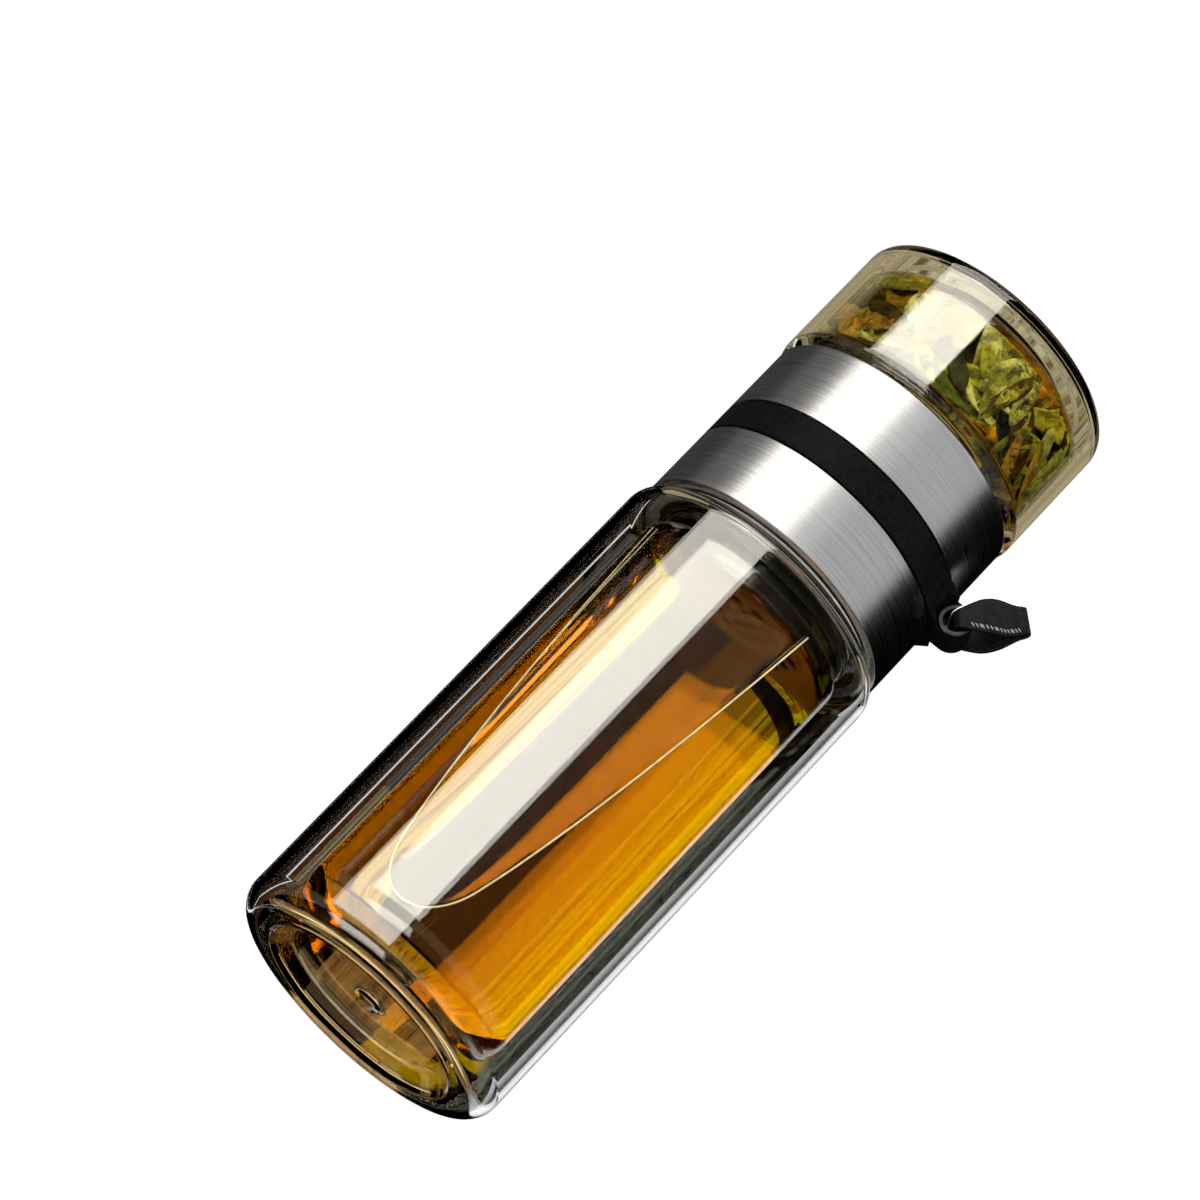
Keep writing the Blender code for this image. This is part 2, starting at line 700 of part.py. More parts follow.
def make_cup_outer_glass():
    inside = CUP_RADIUS - CUP_WALL
    ring_inner = CUP_RADIUS - CUP_CORNER - CUP_END_RING
    slope_inner = ring_inner - 2 * CUP_END_HOLLOW
    hole = TIP_RADIUS + SEAT_GAP
    hollow_z = cup_top - CUP_END_HOLLOW
    step_top = cup_step_z + CUP_WALL
    corners = [
        (hole, hollow_z, 0),
        (slope_inner, hollow_z, GLASS_BEND),
        (ring_inner, cup_top, GLASS_BEND),
        (CUP_RADIUS, cup_top, CUP_CORNER),
        (CUP_RADIUS, cup_step_z, CUP_LOWER_CORNER),
        (foot_radius, cup_step_z, CUP_STEP_BEND),
        (foot_radius, cup_rim_z, GLASS_RIM_EDGE),
        (foot_bore, cup_rim_z, GLASS_RIM_EDGE),
        (foot_bore, step_top, CUP_STEP_BEND),
        (inside, step_top, GLASS_BEND),
        (inside, cup_top - CUP_WALL, CUP_CORNER - CUP_STEP_BEND),
        (ring_inner, cup_top - CUP_WALL, GLASS_BEND),
        (slope_inner, hollow_z - CUP_WALL, GLASS_BEND),
        (hole, hollow_z - CUP_WALL, 0),
    ]
    return turned("cup_outer_glass", corners, glass, bottle)


def make_cup_inner_glass():
    end = cup_top - CUP_END_HOLLOW - CUP_WALL - CUP_END_SPACE
    belly_z = cup_step_z + CUP_WALL + CUP_LINER_SPACE
    belly_bore = cup_belly_radius - CUP_LINER_WALL
    corners = [
        (0, end, 0),
        (cup_belly_radius, end, CUP_LINER_CORNER),
        (cup_belly_radius, belly_z, GLASS_BEND),
        (cup_liner_radius, belly_z, CUP_STEP_BEND),
        (cup_liner_radius, cup_rim_z, GLASS_RIM_EDGE),
        (cup_bore, cup_rim_z, GLASS_RIM_EDGE),
        (cup_bore, belly_z + CUP_LINER_WALL, CUP_STEP_BEND),
        (belly_bore, belly_z + CUP_LINER_WALL, GLASS_BEND),
        (belly_bore, end - CUP_LINER_WALL, CUP_LINER_CORNER - CUP_LINER_WALL),
        (0, end - CUP_LINER_WALL, 0),
    ]
    return turned("cup_inner_glass", corners, glass, bottle, closed=False)


def make_cup_tip():
    seat = cup_top - CUP_END_HOLLOW - CUP_WALL - SEAT_GAP
    end = cup_top - CUP_END_HOLLOW + TIP_STICK_OUT / 2
    corners = [
        (0, end, 0),
        (TIP_RADIUS, end, TIP_RADIUS / 2),
        (TIP_RADIUS, seat, 0),
        (TIP_RADIUS + TIP_FLANGE, seat, 0),
        (TIP_RADIUS + TIP_FLANGE, seat - TIP_FLANGE_THICKNESS, TIP_EDGE),
        (0, seat - TIP_FLANGE_THICKNESS, 0),
    ]
    return turned("cup_seal_tip", corners, glass, bottle, closed=False, sides=SMALL_SIDES)


# Strainer


def make_strainer_rim():
    groove = rim_radius - STRAINER_GROOVE_DEPTH
    groove_top = mouth_gasket_z + STRAINER_GROOVE_HEIGHT
    corners = [
        (rim_radius, rim_top, 0),
        (rim_radius, groove_top, 0),
        (groove, groove_top, 0),
        (groove, mouth_gasket_z, 0),
        (rim_radius, mouth_gasket_z, 0),
        (rim_radius, rim_z, PLASTIC_EDGE),
        (rim_bore, rim_z, 0),
        (rim_bore, rim_top, 0),
    ]
    return turned("strainer_rim", corners, black_plastic, bottle)


def make_strainer_seal():
    inner = rim_radius - STRAINER_GROOVE_DEPTH + SEAT_GAP
    top = mouth_gasket_z + STRAINER_GROOVE_HEIGHT - SEAT_GAP
    bottom = mouth_gasket_z + SEAT_GAP
    corners = [
        (seal_radius, top, PLASTIC_EDGE),
        (seal_radius, bottom, PLASTIC_EDGE),
        (inner, bottom, 0),
        (inner, top, 0),
    ]
    return turned("strainer_seal", corners, silicone, bottle)


def make_strainer_basket():
    flange_z = rim_top + SEAT_GAP
    flange_top = flange_z + BASKET_WALL
    floor = flange_top - BASKET_DEPTH
    inside = basket_radius - BASKET_WALL
    corners = [
        (0, floor + BASKET_WALL, 0),
        (inside, floor + BASKET_WALL, BASKET_CORNER - BASKET_WALL),
        (inside, flange_top, 0),
        (rim_bore + BASKET_FLANGE, flange_top, 0),
        (rim_bore + BASKET_FLANGE, flange_z, 0),
        (basket_radius, flange_z, 0),
        (basket_radius, floor, BASKET_CORNER),
        (0, floor, 0),
    ]
    obj = turned("strainer_basket", corners, steel, bottle, closed=False)
    drills = []
    for x, y in hexagon_points(FLOOR_HOLE_RINGS, FLOOR_HOLE_PITCH):
        place = Matrix.Translation((x, y, floor))
        drills.append(cylinder_mesh("floor_drill", FLOOR_HOLE_RADIUS, 4 * BASKET_WALL, place, DRILL_SIDES))
    for row in range(SIDE_HOLE_ROWS):
        height = floor + SIDE_HOLE_PITCH * (row + 1)
        for column in range(SIDE_HOLE_COLUMNS):
            angle = math.pi * (column + row / 2) / SIDE_HOLE_COLUMNS
            place = Matrix.Translation((0, 0, height)) @ Matrix.Rotation(angle, 4, "Z")
            place = place @ Matrix.Rotation(math.pi / 2, 4, "X")
            drill = cylinder_mesh("side_drill", SIDE_HOLE_RADIUS, 3 * basket_radius, place, DRILL_SIDES)
            boolean(obj, helper(f"side_drill_{row + 1}_{column + 1}", drill), "DIFFERENCE")
    boolean(obj, helper("floor_drills", joined("floor_drills", drills)), "DIFFERENCE")
    return obj


def hexagon_points(rings, pitch):
    """Points of a triangular grid inside a hexagon."""
    for row in range(-rings, rings + 1):
        for column in range(-rings, rings + 1):
            if abs(row + column) <= rings:
                yield (pitch * (column + row / 2), pitch * row * math.sqrt(3) / 2)


clear_scene()
bottle = new_collection("tea_infuser_bottle")
helpers = new_collection("cutters", hidden=True)

glass = material("clear_glass", (0.95, 0.97, 0.97), 0.02, transmission=1.0)
steel = material("brushed_steel", (0.62, 0.62, 0.61), 0.32, metallic=1.0)
black_metal = material("black_metal", (0.03, 0.03, 0.03), 0.3, metallic=1.0)
black_plastic = material("black_plastic", (0.015, 0.015, 0.016), 0.42)
silicone = material("clear_silicone", (0.62, 0.6, 0.56), 0.45)
leather = material("black_leather", (0.012, 0.012, 0.012), 0.55)

# Joint axes: the cup and the band turn about Z, the strap about the eyelet's own axis
cup_screw = bpy.data.objects.new("cup_screw_axis", None)
strainer_slide = bpy.data.objects.new("strainer_slide_axis", None)
band_swivel = bpy.data.objects.new("band_swivel_axis", None)
strap_hinge = bpy.data.objects.new("strap_hinge_axis", None)
for axis in (cup_screw, strainer_slide, band_swivel, strap_hinge):
    bottle.objects.link(axis)
strainer_slide.parent = cup_screw
strap_hinge.parent = band_swivel
strap_hinge.location = (LUG_REACH, 0, band_mid)

make_outer_glass()
make_inner_glass()
make_base_tip()
make_shoulder_gasket()
make_lower_collar()
make_neck_insert()
make_strap_band()
make_eyelet()
make_strap_loop()
for piece in (
    make_upper_collar(),
    make_collar_liner(),
    make_mouth_gasket(),
    make_cup_gasket(),
    make_cup_outer_glass(),
    make_cup_inner_glass(),
    make_cup_tip(),
):
    piece.parent = cup_screw
for piece in (make_strainer_rim(), make_strainer_seal(), make_strainer_basket()):
    piece.parent = strainer_slide
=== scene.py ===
import math
import random

import bmesh
import bpy
from mathutils import Matrix, Vector


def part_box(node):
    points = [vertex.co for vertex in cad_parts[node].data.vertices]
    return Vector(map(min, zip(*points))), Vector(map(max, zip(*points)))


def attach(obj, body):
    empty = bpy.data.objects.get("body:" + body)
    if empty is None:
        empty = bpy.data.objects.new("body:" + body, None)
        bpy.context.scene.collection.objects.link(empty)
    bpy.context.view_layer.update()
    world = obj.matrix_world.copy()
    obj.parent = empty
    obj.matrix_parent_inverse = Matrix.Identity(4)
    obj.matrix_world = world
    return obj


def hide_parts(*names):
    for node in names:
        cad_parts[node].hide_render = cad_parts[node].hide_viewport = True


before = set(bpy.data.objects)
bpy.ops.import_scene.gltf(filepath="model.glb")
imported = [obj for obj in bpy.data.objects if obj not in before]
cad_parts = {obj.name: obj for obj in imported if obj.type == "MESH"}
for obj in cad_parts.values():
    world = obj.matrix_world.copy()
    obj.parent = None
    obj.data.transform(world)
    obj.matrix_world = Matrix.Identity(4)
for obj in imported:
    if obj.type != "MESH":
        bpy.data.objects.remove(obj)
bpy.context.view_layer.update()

MM = 0.001
WHITE = (1.0, 1.0, 1.0)

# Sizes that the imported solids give
body_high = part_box("outer_glass_wall")[1]
tube_low, tube_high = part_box("inner_glass_wall")
lower_low, lower_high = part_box("lower_collar")
upper_low, upper_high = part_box("upper_collar")
band_low, band_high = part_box("strap_band")
cup_low, cup_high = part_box("cup_outer_glass")
cup_liner_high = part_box("cup_inner_glass")[1]
basket_low, basket_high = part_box("strainer_basket")
rim_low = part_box("strainer_rim")[0]
eyelet_low, eyelet_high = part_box("lug_eyelet")
BODY_RADIUS = body_high.x
TUBE_RADIUS = tube_high.x
COLLAR_RADIUS = lower_high.x
CUP_RADIUS = cup_high.x
CUP_TOP = cup_high.z
CUP_RIM = cup_low.z
CUP_BELLY_RADIUS = cup_liner_high.x
BAND_MID = (band_low.z + band_high.z) / 2
EYELET = Vector(((eyelet_low.x + eyelet_high.x) / 2, 0, BAND_MID))

# Roundings that several pieces share
FINE_EDGE = 0.2 * MM
COLLAR_EDGE = 0.5 * MM
COLLAR_RIM = 0.45 * MM
GLASS_RIM = 0.6 * MM
GLASS_BEND = 0.8 * MM
NECK_BASE_BEND = 1.0 * MM
RING_BEND = 1.5 * MM
SLOPE_BEND = 2.2 * MM

# Body glass
BODY_WALL = 1.8 * MM
BASE_CORNER = 5.3 * MM
SHOULDER_CORNER = 4.2 * MM
SHOULDER_HEIGHT = 122.6 * MM
NECK_WALL = 1.6 * MM
BASE_RING_INNER = 23.8 * MM
BASE_RING_BEND = 1.4 * MM
BASE_SLOPE_INNER = 19.6 * MM
BASE_HOLLOW = 3.2 * MM
TUBE_WALL = 1.6 * MM
TUBE_CORNER = 7.0 * MM
NECK_RADIUS = 23.7 * MM
NECK_DROP = 1.8 * MM
NECK_TAPER = 3.0 * MM
NECK_TOP = SHOULDER_HEIGHT - BODY_WALL - NECK_DROP
NECK_FOOT = NECK_TOP - NECK_TAPER
NECK_BEND = 2.5 * MM
BORE = TUBE_RADIUS - TUBE_WALL
BORE_FLOOR = tube_low.z + TUBE_WALL

# The pips where the glass was sealed: how far they stand out and in, and how their sides flare
PIP_RADIUS = 2.7 * MM
PIP_STICK_OUT = 1.3 * MM
PIP_RISE = 0.9 * MM
PIP_FLARE = 1.4 * MM
PIP_FOOT = 1.0 * MM
PIP_TAPER = 0.8 * MM
PIP_BEND = 1.0 * MM
CUP_PIP_RISE = 0.6 * MM
CUP_PIP_EDGE = 0.5 * MM

# Collars
COLLAR_WALL = 1.3 * MM
COLLAR_LIP = 0.8 * MM
LOWER_LIP_WIDTH = 1.5 * MM
FOOT_RADIUS = 28.0 * MM
SEAT_GAP = 0.3 * MM
GASKET_WIDTH = 2.2 * MM

# Band, lug, eyelet and strap
BAND_BORE = 27.4 * MM
BAND_SOFTENING = 0.3 * MM
LUG_THICKNESS = 7.2 * MM
LUG_FLANK_ANGLE = 23.0
LUG_FLANK_END = 0.5 * MM
LUG_ROOT = 0.4 * MM
LUG_BORE = 3.2 * MM
LUG_NOSE_STEPS = 40
SPOT_FACE_MARGIN = 0.6 * MM
DRILL_SIDES = 48
EYELET_BORE = 2.4 * MM
EYELET_WALL = 0.5 * MM
EYELET_FLANGE = 0.8 * MM
EYELET_FACE = eyelet_high.y
EYELET_EDGE = 0.35 * MM
EYELET_MOUTH = 0.4 * MM
EYELET_SIDES = 64
STRAP_LENGTH = 15.5 * MM
STRAP_HALF_WIDTH = 4.2 * MM
STRAP_NECK = 1.8 * MM
STRAP_WIDEST = 0.6
STRAP_TAPER = 0.42
STRAP_LEGS_PART = 1 / 3
STRAP_THICKNESS = 1.1 * MM
STRAP_EDGE = 0.4 * MM
STRAP_TIP_GAP = 0.5 * MM
STRAP_BEND = 1.5 * MM
STRAP_ANGLE = math.radians(48.0)
STRAP_LEG_STEPS = 4
STRAP_BEND_STEPS = 8
STRAP_RUN_STEPS = 32
STRAP_TIP_STEPS = 6
STRAP_EDGE_STEPS = 6
# The strap's rim beads, pale grey as a painted highlight on its upper edges: their radius and inset
RIM_BEAD = 0.195 * MM
RIM_INSET = 0.13 * MM
BEAD_SIDES = 8
STITCH_COUNT = 15
STITCH_LENGTH = 1.2 * MM
STITCH_RADIUS = 0.17 * MM
STITCH_INSET = 1.15 * MM
STITCH_LEAN = Vector((0.45, 0, -1)).normalized()
STITCH_FIRST = 0.2
STITCH_LAST = 0.85
STITCH_STEPS = 6
STITCH_END = 0.02

# Strainer
BASKET_RADIUS = 19.5 * MM
BASKET_WALL = 0.6 * MM
BASKET_CORNER = 2.0 * MM
BASKET_MOUTH_EDGE = 0.1 * MM
BASKET_RIM_EDGE = 0.15 * MM
BASKET_RIM_BEND = 0.3 * MM
BASKET_HOLE = 1.5 * MM
FLOOR_HOLE_PITCH = 5.6 * MM
FLOOR_HOLE_RINGS = 2
SIDE_HOLE_PITCH = 6.0 * MM
SIDE_HOLE_ROWS = 2
SIDE_HOLE_COLUMNS = 6
HOLE_SIDES = 32

# Leaves: how many, their ranges in millimetres, how they lie, and the shape of one
LEAF_COUNT = 250
LEAF_SEED = 11
LEAF_LENGTH = (10, 28)
LEAF_WIDTH = (3, 9)
LEAF_WAVE = (0.2, 0.8)
LEAF_CURL = 1.8
LEAF_TWIST = 1.2
LEAF_TILT = 0.5
LEAF_TURN = 0.381966
LEAF_SCATTER = 0.05
LEAF_SPREAD = (0.5, 1.08)
LEAF_WALL_GAP = 0.5 * MM
LEAF_END_GAP = 1.0 * MM
LEAF_THICKNESS = 0.18 * MM
LEAF_STEPS = 12
LEAF_ACROSS = 6
LEAF_BLUNTNESS = 0.65
LEAF_TAPER = 0.25
LEAF_TIP = 0.2 * MM
LEAF_FOLD = 0.35
LEAF_STRAIGHT = 0.05
LEAF_RIPPLES = (9, 4)

# Cup glass
CUP_WALL = 1.8 * MM
CUP_LINER_RADIUS = 26.1 * MM
CUP_LINER_SPACE = 0.6 * MM
CUP_STEP = 166.6 * MM
CUP_CORNER = 2.6 * MM
CUP_INNER_CORNER = 1.8 * MM
CUP_FOOT_WALL = 1.6 * MM
CUP_LINER_WALL = 1.5 * MM
CUP_LINER_CORNER = 5.0 * MM
CUP_END_HOLLOW = 1.6 * MM
CUP_END_RING = 24.6 * MM
CUP_END_SLOPE = 21.4 * MM
CUP_BELLY_LOW = CUP_STEP + CUP_WALL + CUP_LINER_SPACE
CHAMBER_RADIUS = CUP_BELLY_RADIUS - CUP_LINER_WALL
CHAMBER_LOW = CUP_BELLY_LOW + CUP_LINER_WALL
CHAMBER_TOP = cup_liner_high.z - CUP_LINER_WALL
CHAMBER_CORNER = CUP_LINER_CORNER - CUP_LINER_WALL

# Tea: how far it wets the glass, and its free surface with the air above it
WETTED = 0.12 * MM
TEA_UP = math.radians(-99.2)
TEA_LEVEL = 19.7 * MM
TEA_LEVEL_HEIGHT = 53.0 * MM
TEA_SLOPE = 0.09
TEA_TOP_GAP = 1.0 * MM
TEA_FULL = 0.9995
TEA_STEPS = 140
TEA_ARC_POINTS = 84
TEA_CHORD_POINTS = 36
CUP_TEA_FOOT = 0.7 * MM
AIR_NOSE = 27.0 * MM
AIR_NOSE_LENGTH = 12.0 * MM
AIR_NOSE_RISE = 1.0 * MM
MENISCUS = 1.3 * MM
MENISCUS_REACH = 1.4 * MM
# The pale bead along the tea's edge is a painted highlight: its radius, steps and where it stops
EDGE_BEAD = 0.2 * MM
EDGE_BEAD_STEPS = 200
EDGE_BEAD_STOP = 1.0 * MM

SIDES = 144
ARC_STEP = math.radians(9.0)
LEAST_ARC_STEPS = 3
HALVINGS = 40
ON_AXIS = 1e-7


# Mesh making


def add_object(name, data):
    obj = bpy.data.objects.new(name, data)
    bpy.context.scene.collection.objects.link(obj)
    return obj


def link(name, mesh, look):
    obj = add_object(name, mesh)
    mesh.materials.append(look)
    return obj


def to_mesh(name, work):
    mesh = bpy.data.meshes.new(name)
    work.to_mesh(mesh)
    work.free()
    return mesh


def solid_mesh(name, work):
    bmesh.ops.recalc_face_normals(work, faces=work.faces)
    return to_mesh(name, work)


def circle(radius, sides):
    angles = [math.tau * k / sides for k in range(sides)]
    return [(radius * math.cos(angle), radius * math.sin(angle)) for angle in angles]


def ring_round(centre, across, up, radius):
    """Points on a circle round a centre, in the plane of two directions."""
    return [centre + across * x + up * y for x, y in circle(radius, BEAD_SIDES)]


def rounded(corners, closed):
    """Profile points from corners given as (radius, height, rounding)."""
    points = []
    count = len(corners)
    for i, (radius, height, rounding) in enumerate(corners):
        here = Vector((radius, height))
        if rounding == 0 or (not closed and i in (0, count - 1)):
            points.append(here)
            continue
        before = (Vector(corners[i - 1][:2]) - here).normalized()
        after = (Vector(corners[(i + 1) % count][:2]) - here).normalized()
        half = before.angle(after) / 2
        bend = math.pi - 2 * half
        centre = here + (before + after).normalized() * rounding / math.sin(half)
        start = here + before * rounding / math.tan(half) - centre
        turn = 1 if before.x * after.y - before.y * after.x < 0 else -1
        steps = max(LEAST_ARC_STEPS, round(bend / ARC_STEP))
        for step in range(steps + 1):
            points.append(centre + Matrix.Rotation(turn * bend * step / steps, 2) @ start)
    return points


def smooth(mesh, angle=38.0):
    mesh.shade_smooth()
    mesh.set_sharp_from_angle(angle=math.radians(angle))


def flatten_normals(obj):
    """Large flat or straight faces keep their own normals beside small roundings."""
    weighted = obj.modifiers.new("Face normals", "WEIGHTED_NORMAL")
    weighted.keep_sharp = True
    weighted.weight = 100


def turned(name, corners, look, closed=True, sides=SIDES):
    """A piece turned about Z. An open profile starts and ends on the axis."""
    points = rounded(corners, closed)
    work = bmesh.new()
    rings = []
    for point in points:
        ring = [(0, 0)] if point.x < ON_AXIS else circle(point.x, sides)
        rings.append([work.verts.new((x, y, point.y)) for x, y in ring])
    pairs = list(zip(rings, rings[1:]))
    if closed:
        pairs.append((rings[-1], rings[0]))
    for here, there in pairs:
        for k in range(sides):
            j = (k + 1) % sides
            if len(here) == 1:
                work.faces.new((here[0], there[j], there[k]))
            elif len(there) == 1:
                work.faces.new((here[k], here[j], there[0]))
            else:
                work.faces.new((here[k], here[j], there[j], there[k]))
    mesh = solid_mesh(name, work)
    smooth(mesh)
    obj = link(name, mesh, look)
    flatten_normals(obj)
    return obj


def loft_into(work, sections, closed=False):
    """Faces through sections of equally many points. An open run gets flat ends."""
    rows = [[work.verts.new(point) for point in section] for section in sections]
    pairs = list(zip(rows, rows[1:]))
    if closed:
        pairs.append((rows[-1], rows[0]))
    for here, there in pairs:
        for j in range(len(here)):
            k = (j + 1) % len(here)
            work.faces.new((here[j], here[k], there[k], there[j]))
    if not closed:
        work.faces.new(list(reversed(rows[0])))
        work.faces.new(rows[-1])


def lofted(name, sections, closed=False):
    work = bmesh.new()
    loft_into(work, sections, closed)
    return solid_mesh(name, work)


def apply_modifiers(obj):
    graph = bpy.context.evaluated_depsgraph_get()
    made = bpy.data.meshes.new_from_object(obj.evaluated_get(graph))
    old = obj.data
    obj.modifiers.clear()
    obj.data = made
    bpy.data.meshes.remove(old)
    made.name = obj.name


def boolean(obj, cutter, operation="DIFFERENCE"):
    modifier = obj.modifiers.new(operation.title(), "BOOLEAN")
    modifier.operation = operation
    modifier.object = cutter
    modifier.solver = "EXACT"
    apply_modifiers(obj)
    bpy.data.objects.remove(cutter, do_unlink=True)


def settle(obj, body, slot, *nodes):
    """The piece rides on its body and stands for the nodes, which it hides. The slot is not used."""
    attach(obj, body)
    if nodes:
        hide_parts(*nodes)


# Materials


def new_material(name):
    made = bpy.data.materials.new(name)
    made.use_nodes = True
    return made, made.node_tree.nodes, made.node_tree.links, made.node_tree.nodes["Principled BSDF"]


def put(node, values):
    """Sets a node's inputs by their names."""
    for name, value in values.items():
        node.inputs[name].default_value = value


def noise(nodes, links, scale, stretch=(1, 1, 1), detail=3.0, roughness=0.55):
    """A noise texture in the object's own space, stretched along its axes. Returns its Fac output."""
    place = nodes.new("ShaderNodeTexCoord")
    mapping = nodes.new("ShaderNodeMapping")
    texture = nodes.new("ShaderNodeTexNoise")
    put(mapping, {"Scale": stretch})
    put(texture, {"Scale": scale, "Detail": detail, "Roughness": roughness})
    links.new(place.outputs["Object"], mapping.inputs["Vector"])
    links.new(mapping.outputs["Vector"], texture.inputs["Vector"])
    return texture.outputs["Fac"]


def ramp(nodes, links, source, stops):
    made = nodes.new("ShaderNodeValToRGB")
    elements = made.color_ramp.elements
    while len(elements) < len(stops):
        elements.new(0.5)
    for element, (position, colour) in zip(elements, stops):
        element.position = position
        element.color = (*colour, 1.0)
    links.new(source, made.inputs["Fac"])
    return made.outputs["Color"]


def to_range(nodes, links, source, low, high):
    made = nodes.new("ShaderNodeMapRange")
    put(made, {"To Min": low, "To Max": high})
    links.new(source, made.inputs["Value"])
    return made.outputs["Result"]


def patterned(nodes, links, shader, pattern, stops, rough):
    """Colour and roughness that both follow one pattern."""
    links.new(ramp(nodes, links, pattern, stops), shader.inputs["Base Color"])
    links.new(to_range(nodes, links, pattern, *rough), shader.inputs["Roughness"])


def bump(nodes, links, source, distance, strength, shader):
    made = nodes.new("ShaderNodeBump")
    put(made, {"Distance": distance, "Strength": strength})
    links.new(source, made.inputs["Height"])
    links.new(made.outputs["Normal"], shader.inputs["Normal"])


def mixed(nodes, links, share, first, second):
    """The first shader where the share is 0, the second where it is 1."""
    mix = nodes.new("ShaderNodeMixShader")
    links.new(share, mix.inputs["Fac"])
    links.new(first, mix.inputs[1])
    links.new(second, mix.inputs[2])
    return mix.outputs["Shader"]


def clear_in_shadow(nodes, links, shader):
    """Lamps reach what is behind the glass: a shadow ray passes it."""
    path = nodes.new("ShaderNodeLightPath")
    through = nodes.new("ShaderNodeBsdfTransparent")
    seen = mixed(nodes, links, path.outputs["Is Shadow Ray"], shader.outputs["BSDF"], through.outputs["BSDF"])
    links.new(seen, nodes["Material Output"].inputs["Surface"])


def glass_material():
    """Clear glass with faint clouds in its tint."""
    made, nodes, links, shader = new_material("clear_glass")
    clouds = noise(nodes, links, 60, (1, 1, 0.2), detail=2.0)
    tint = ramp(nodes, links, clouds, [(0.3, (0.97, 0.985, 0.98)), (0.7, WHITE)])
    links.new(tint, shader.inputs["Base Color"])
    put(shader, {"Roughness": 0.0, "IOR": 1.5, "Transmission Weight": 1.0})
    clear_in_shadow(nodes, links, shader)
    return made


def tea_material():
    """Clear tea that takes its colour from its depth. The tint darkens what its free surface reflects."""
    made, nodes, links, shader = new_material("tea")
    put(shader, {"Base Color": (*WHITE, 1), "Roughness": 0.0, "IOR": 1.333, "Transmission Weight": 1.0})
    put(shader, {"Specular Tint": (0.32, 0.14, 0.05, 1)})
    absorb = nodes.new("ShaderNodeVolumeAbsorption")
    put(absorb, {"Color": (0.985, 0.917, 0.0, 1), "Density": 200.0})
    links.new(absorb.outputs["Volume"], nodes["Material Output"].inputs["Volume"])
    clear_in_shadow(nodes, links, shader)
    return made


def brushed_steel():
    """Steel brushed round the axis: fine streaks that vary quickly along Z and slowly round the piece."""
    made, nodes, links, shader = new_material("brushed_steel")
    streaks = noise(nodes, links, 30, (1, 1, 260), roughness=0.7)
    stops = [(0.3, (0.42, 0.42, 0.42)), (0.7, (0.74, 0.74, 0.735))]
    patterned(nodes, links, shader, streaks, stops, (0.2, 0.36))
    put(shader, {"Metallic": 1.0, "Anisotropic": 0.6, "Anisotropic Rotation": 0.25})
    bump(nodes, links, streaks, 0.05 * MM, 0.25, shader)
    return made


def dark_metal(name, scale, stops, rough):
    made, nodes, links, shader = new_material(name)
    patterned(nodes, links, shader, noise(nodes, links, scale), stops, rough)
    put(shader, {"Metallic": 1.0})
    return made


def plastic(name, colour, rough, grain=900, gloss=0.5):
    """Plastic or rubber with a fine grain, whose crests are paler."""
    made, nodes, links, shader = new_material(name)
    put(shader, {"Specular IOR Level": gloss})
    patches = noise(nodes, links, grain)
    paler = tuple(c * 1.5 + 0.002 for c in colour)
    patterned(nodes, links, shader, patches, [(0.35, colour), (0.75, paler)], rough)
    bump(nodes, links, patches, 0.05 * MM, 0.2, shader)
    return made


def leather_material():
    made, nodes, links, shader = new_material("black_leather")
    place = nodes.new("ShaderNodeTexCoord")
    cells = nodes.new("ShaderNodeTexVoronoi")
    put(cells, {"Scale": 1400})
    links.new(place.outputs["Object"], cells.inputs["Vector"])
    grain = cells.outputs["Distance"]
    stops = [(0.2, (0.001, 0.001, 0.001)), (0.8, (0.007, 0.0065, 0.006))]
    patterned(nodes, links, shader, grain, stops, (0.32, 0.55))
    bump(nodes, links, grain, 0.1 * MM, 0.5, shader)
    put(shader, {"Specular IOR Level": 0.14})
    return made


def leaf_material():
    """Dry and green leaves, each with its own colour, its veins and some light through it. The near-black
    colours among them are painted shade for the gaps between leaves.
    """
    made, nodes, links, shader = new_material("tea_leaf_with_painted_shade")
    info = nodes.new("ShaderNodeNewGeometry")
    # Yellow, green and brown are the leaves' own tones; the near-black stops are painted shade, standing for
    # the shadows between leaves.
    stops = [
        (0.0, (0.10, 0.14, 0.006)),
        (0.22, (0.95, 0.78, 0.08)),
        (0.34, (0.02, 0.014, 0.004)),
        (0.5, (0.70, 0.36, 0.04)),
        (0.62, (0.012, 0.01, 0.004)),
        (0.78, (0.60, 0.58, 0.06)),
        (1.0, (1.0, 0.90, 0.40)),
    ]
    leaf_colour_and_shade = ramp(nodes, links, info.outputs["Random Per Island"], stops)
    veins = noise(nodes, links, 420, detail=6.0, roughness=0.7)
    mix = nodes.new("ShaderNodeMix")
    mix.data_type = "RGBA"
    mix.blend_type = "MULTIPLY"
    put(mix, {"Factor": 0.8})
    links.new(leaf_colour_and_shade, mix.inputs["A"])
    links.new(ramp(nodes, links, veins, [(0.4, (0.12, 0.1, 0.06)), (0.6, (1, 1, 0.9))]), mix.inputs["B"])
    links.new(mix.outputs["Result"], shader.inputs["Base Color"])
    put(shader, {"Roughness": 0.4})
    bump(nodes, links, veins, 0.6 * MM, 0.6, shader)
    glow = nodes.new("ShaderNodeBsdfTranslucent")
    links.new(mix.outputs["Result"], glow.inputs["Color"])
    share = nodes.new("ShaderNodeValue")
    share.outputs["Value"].default_value = 0.45
    seen = mixed(nodes, links, share.outputs["Value"], shader.outputs["BSDF"], glow.outputs["BSDF"])
    links.new(seen, nodes["Material Output"].inputs["Surface"])
    return made


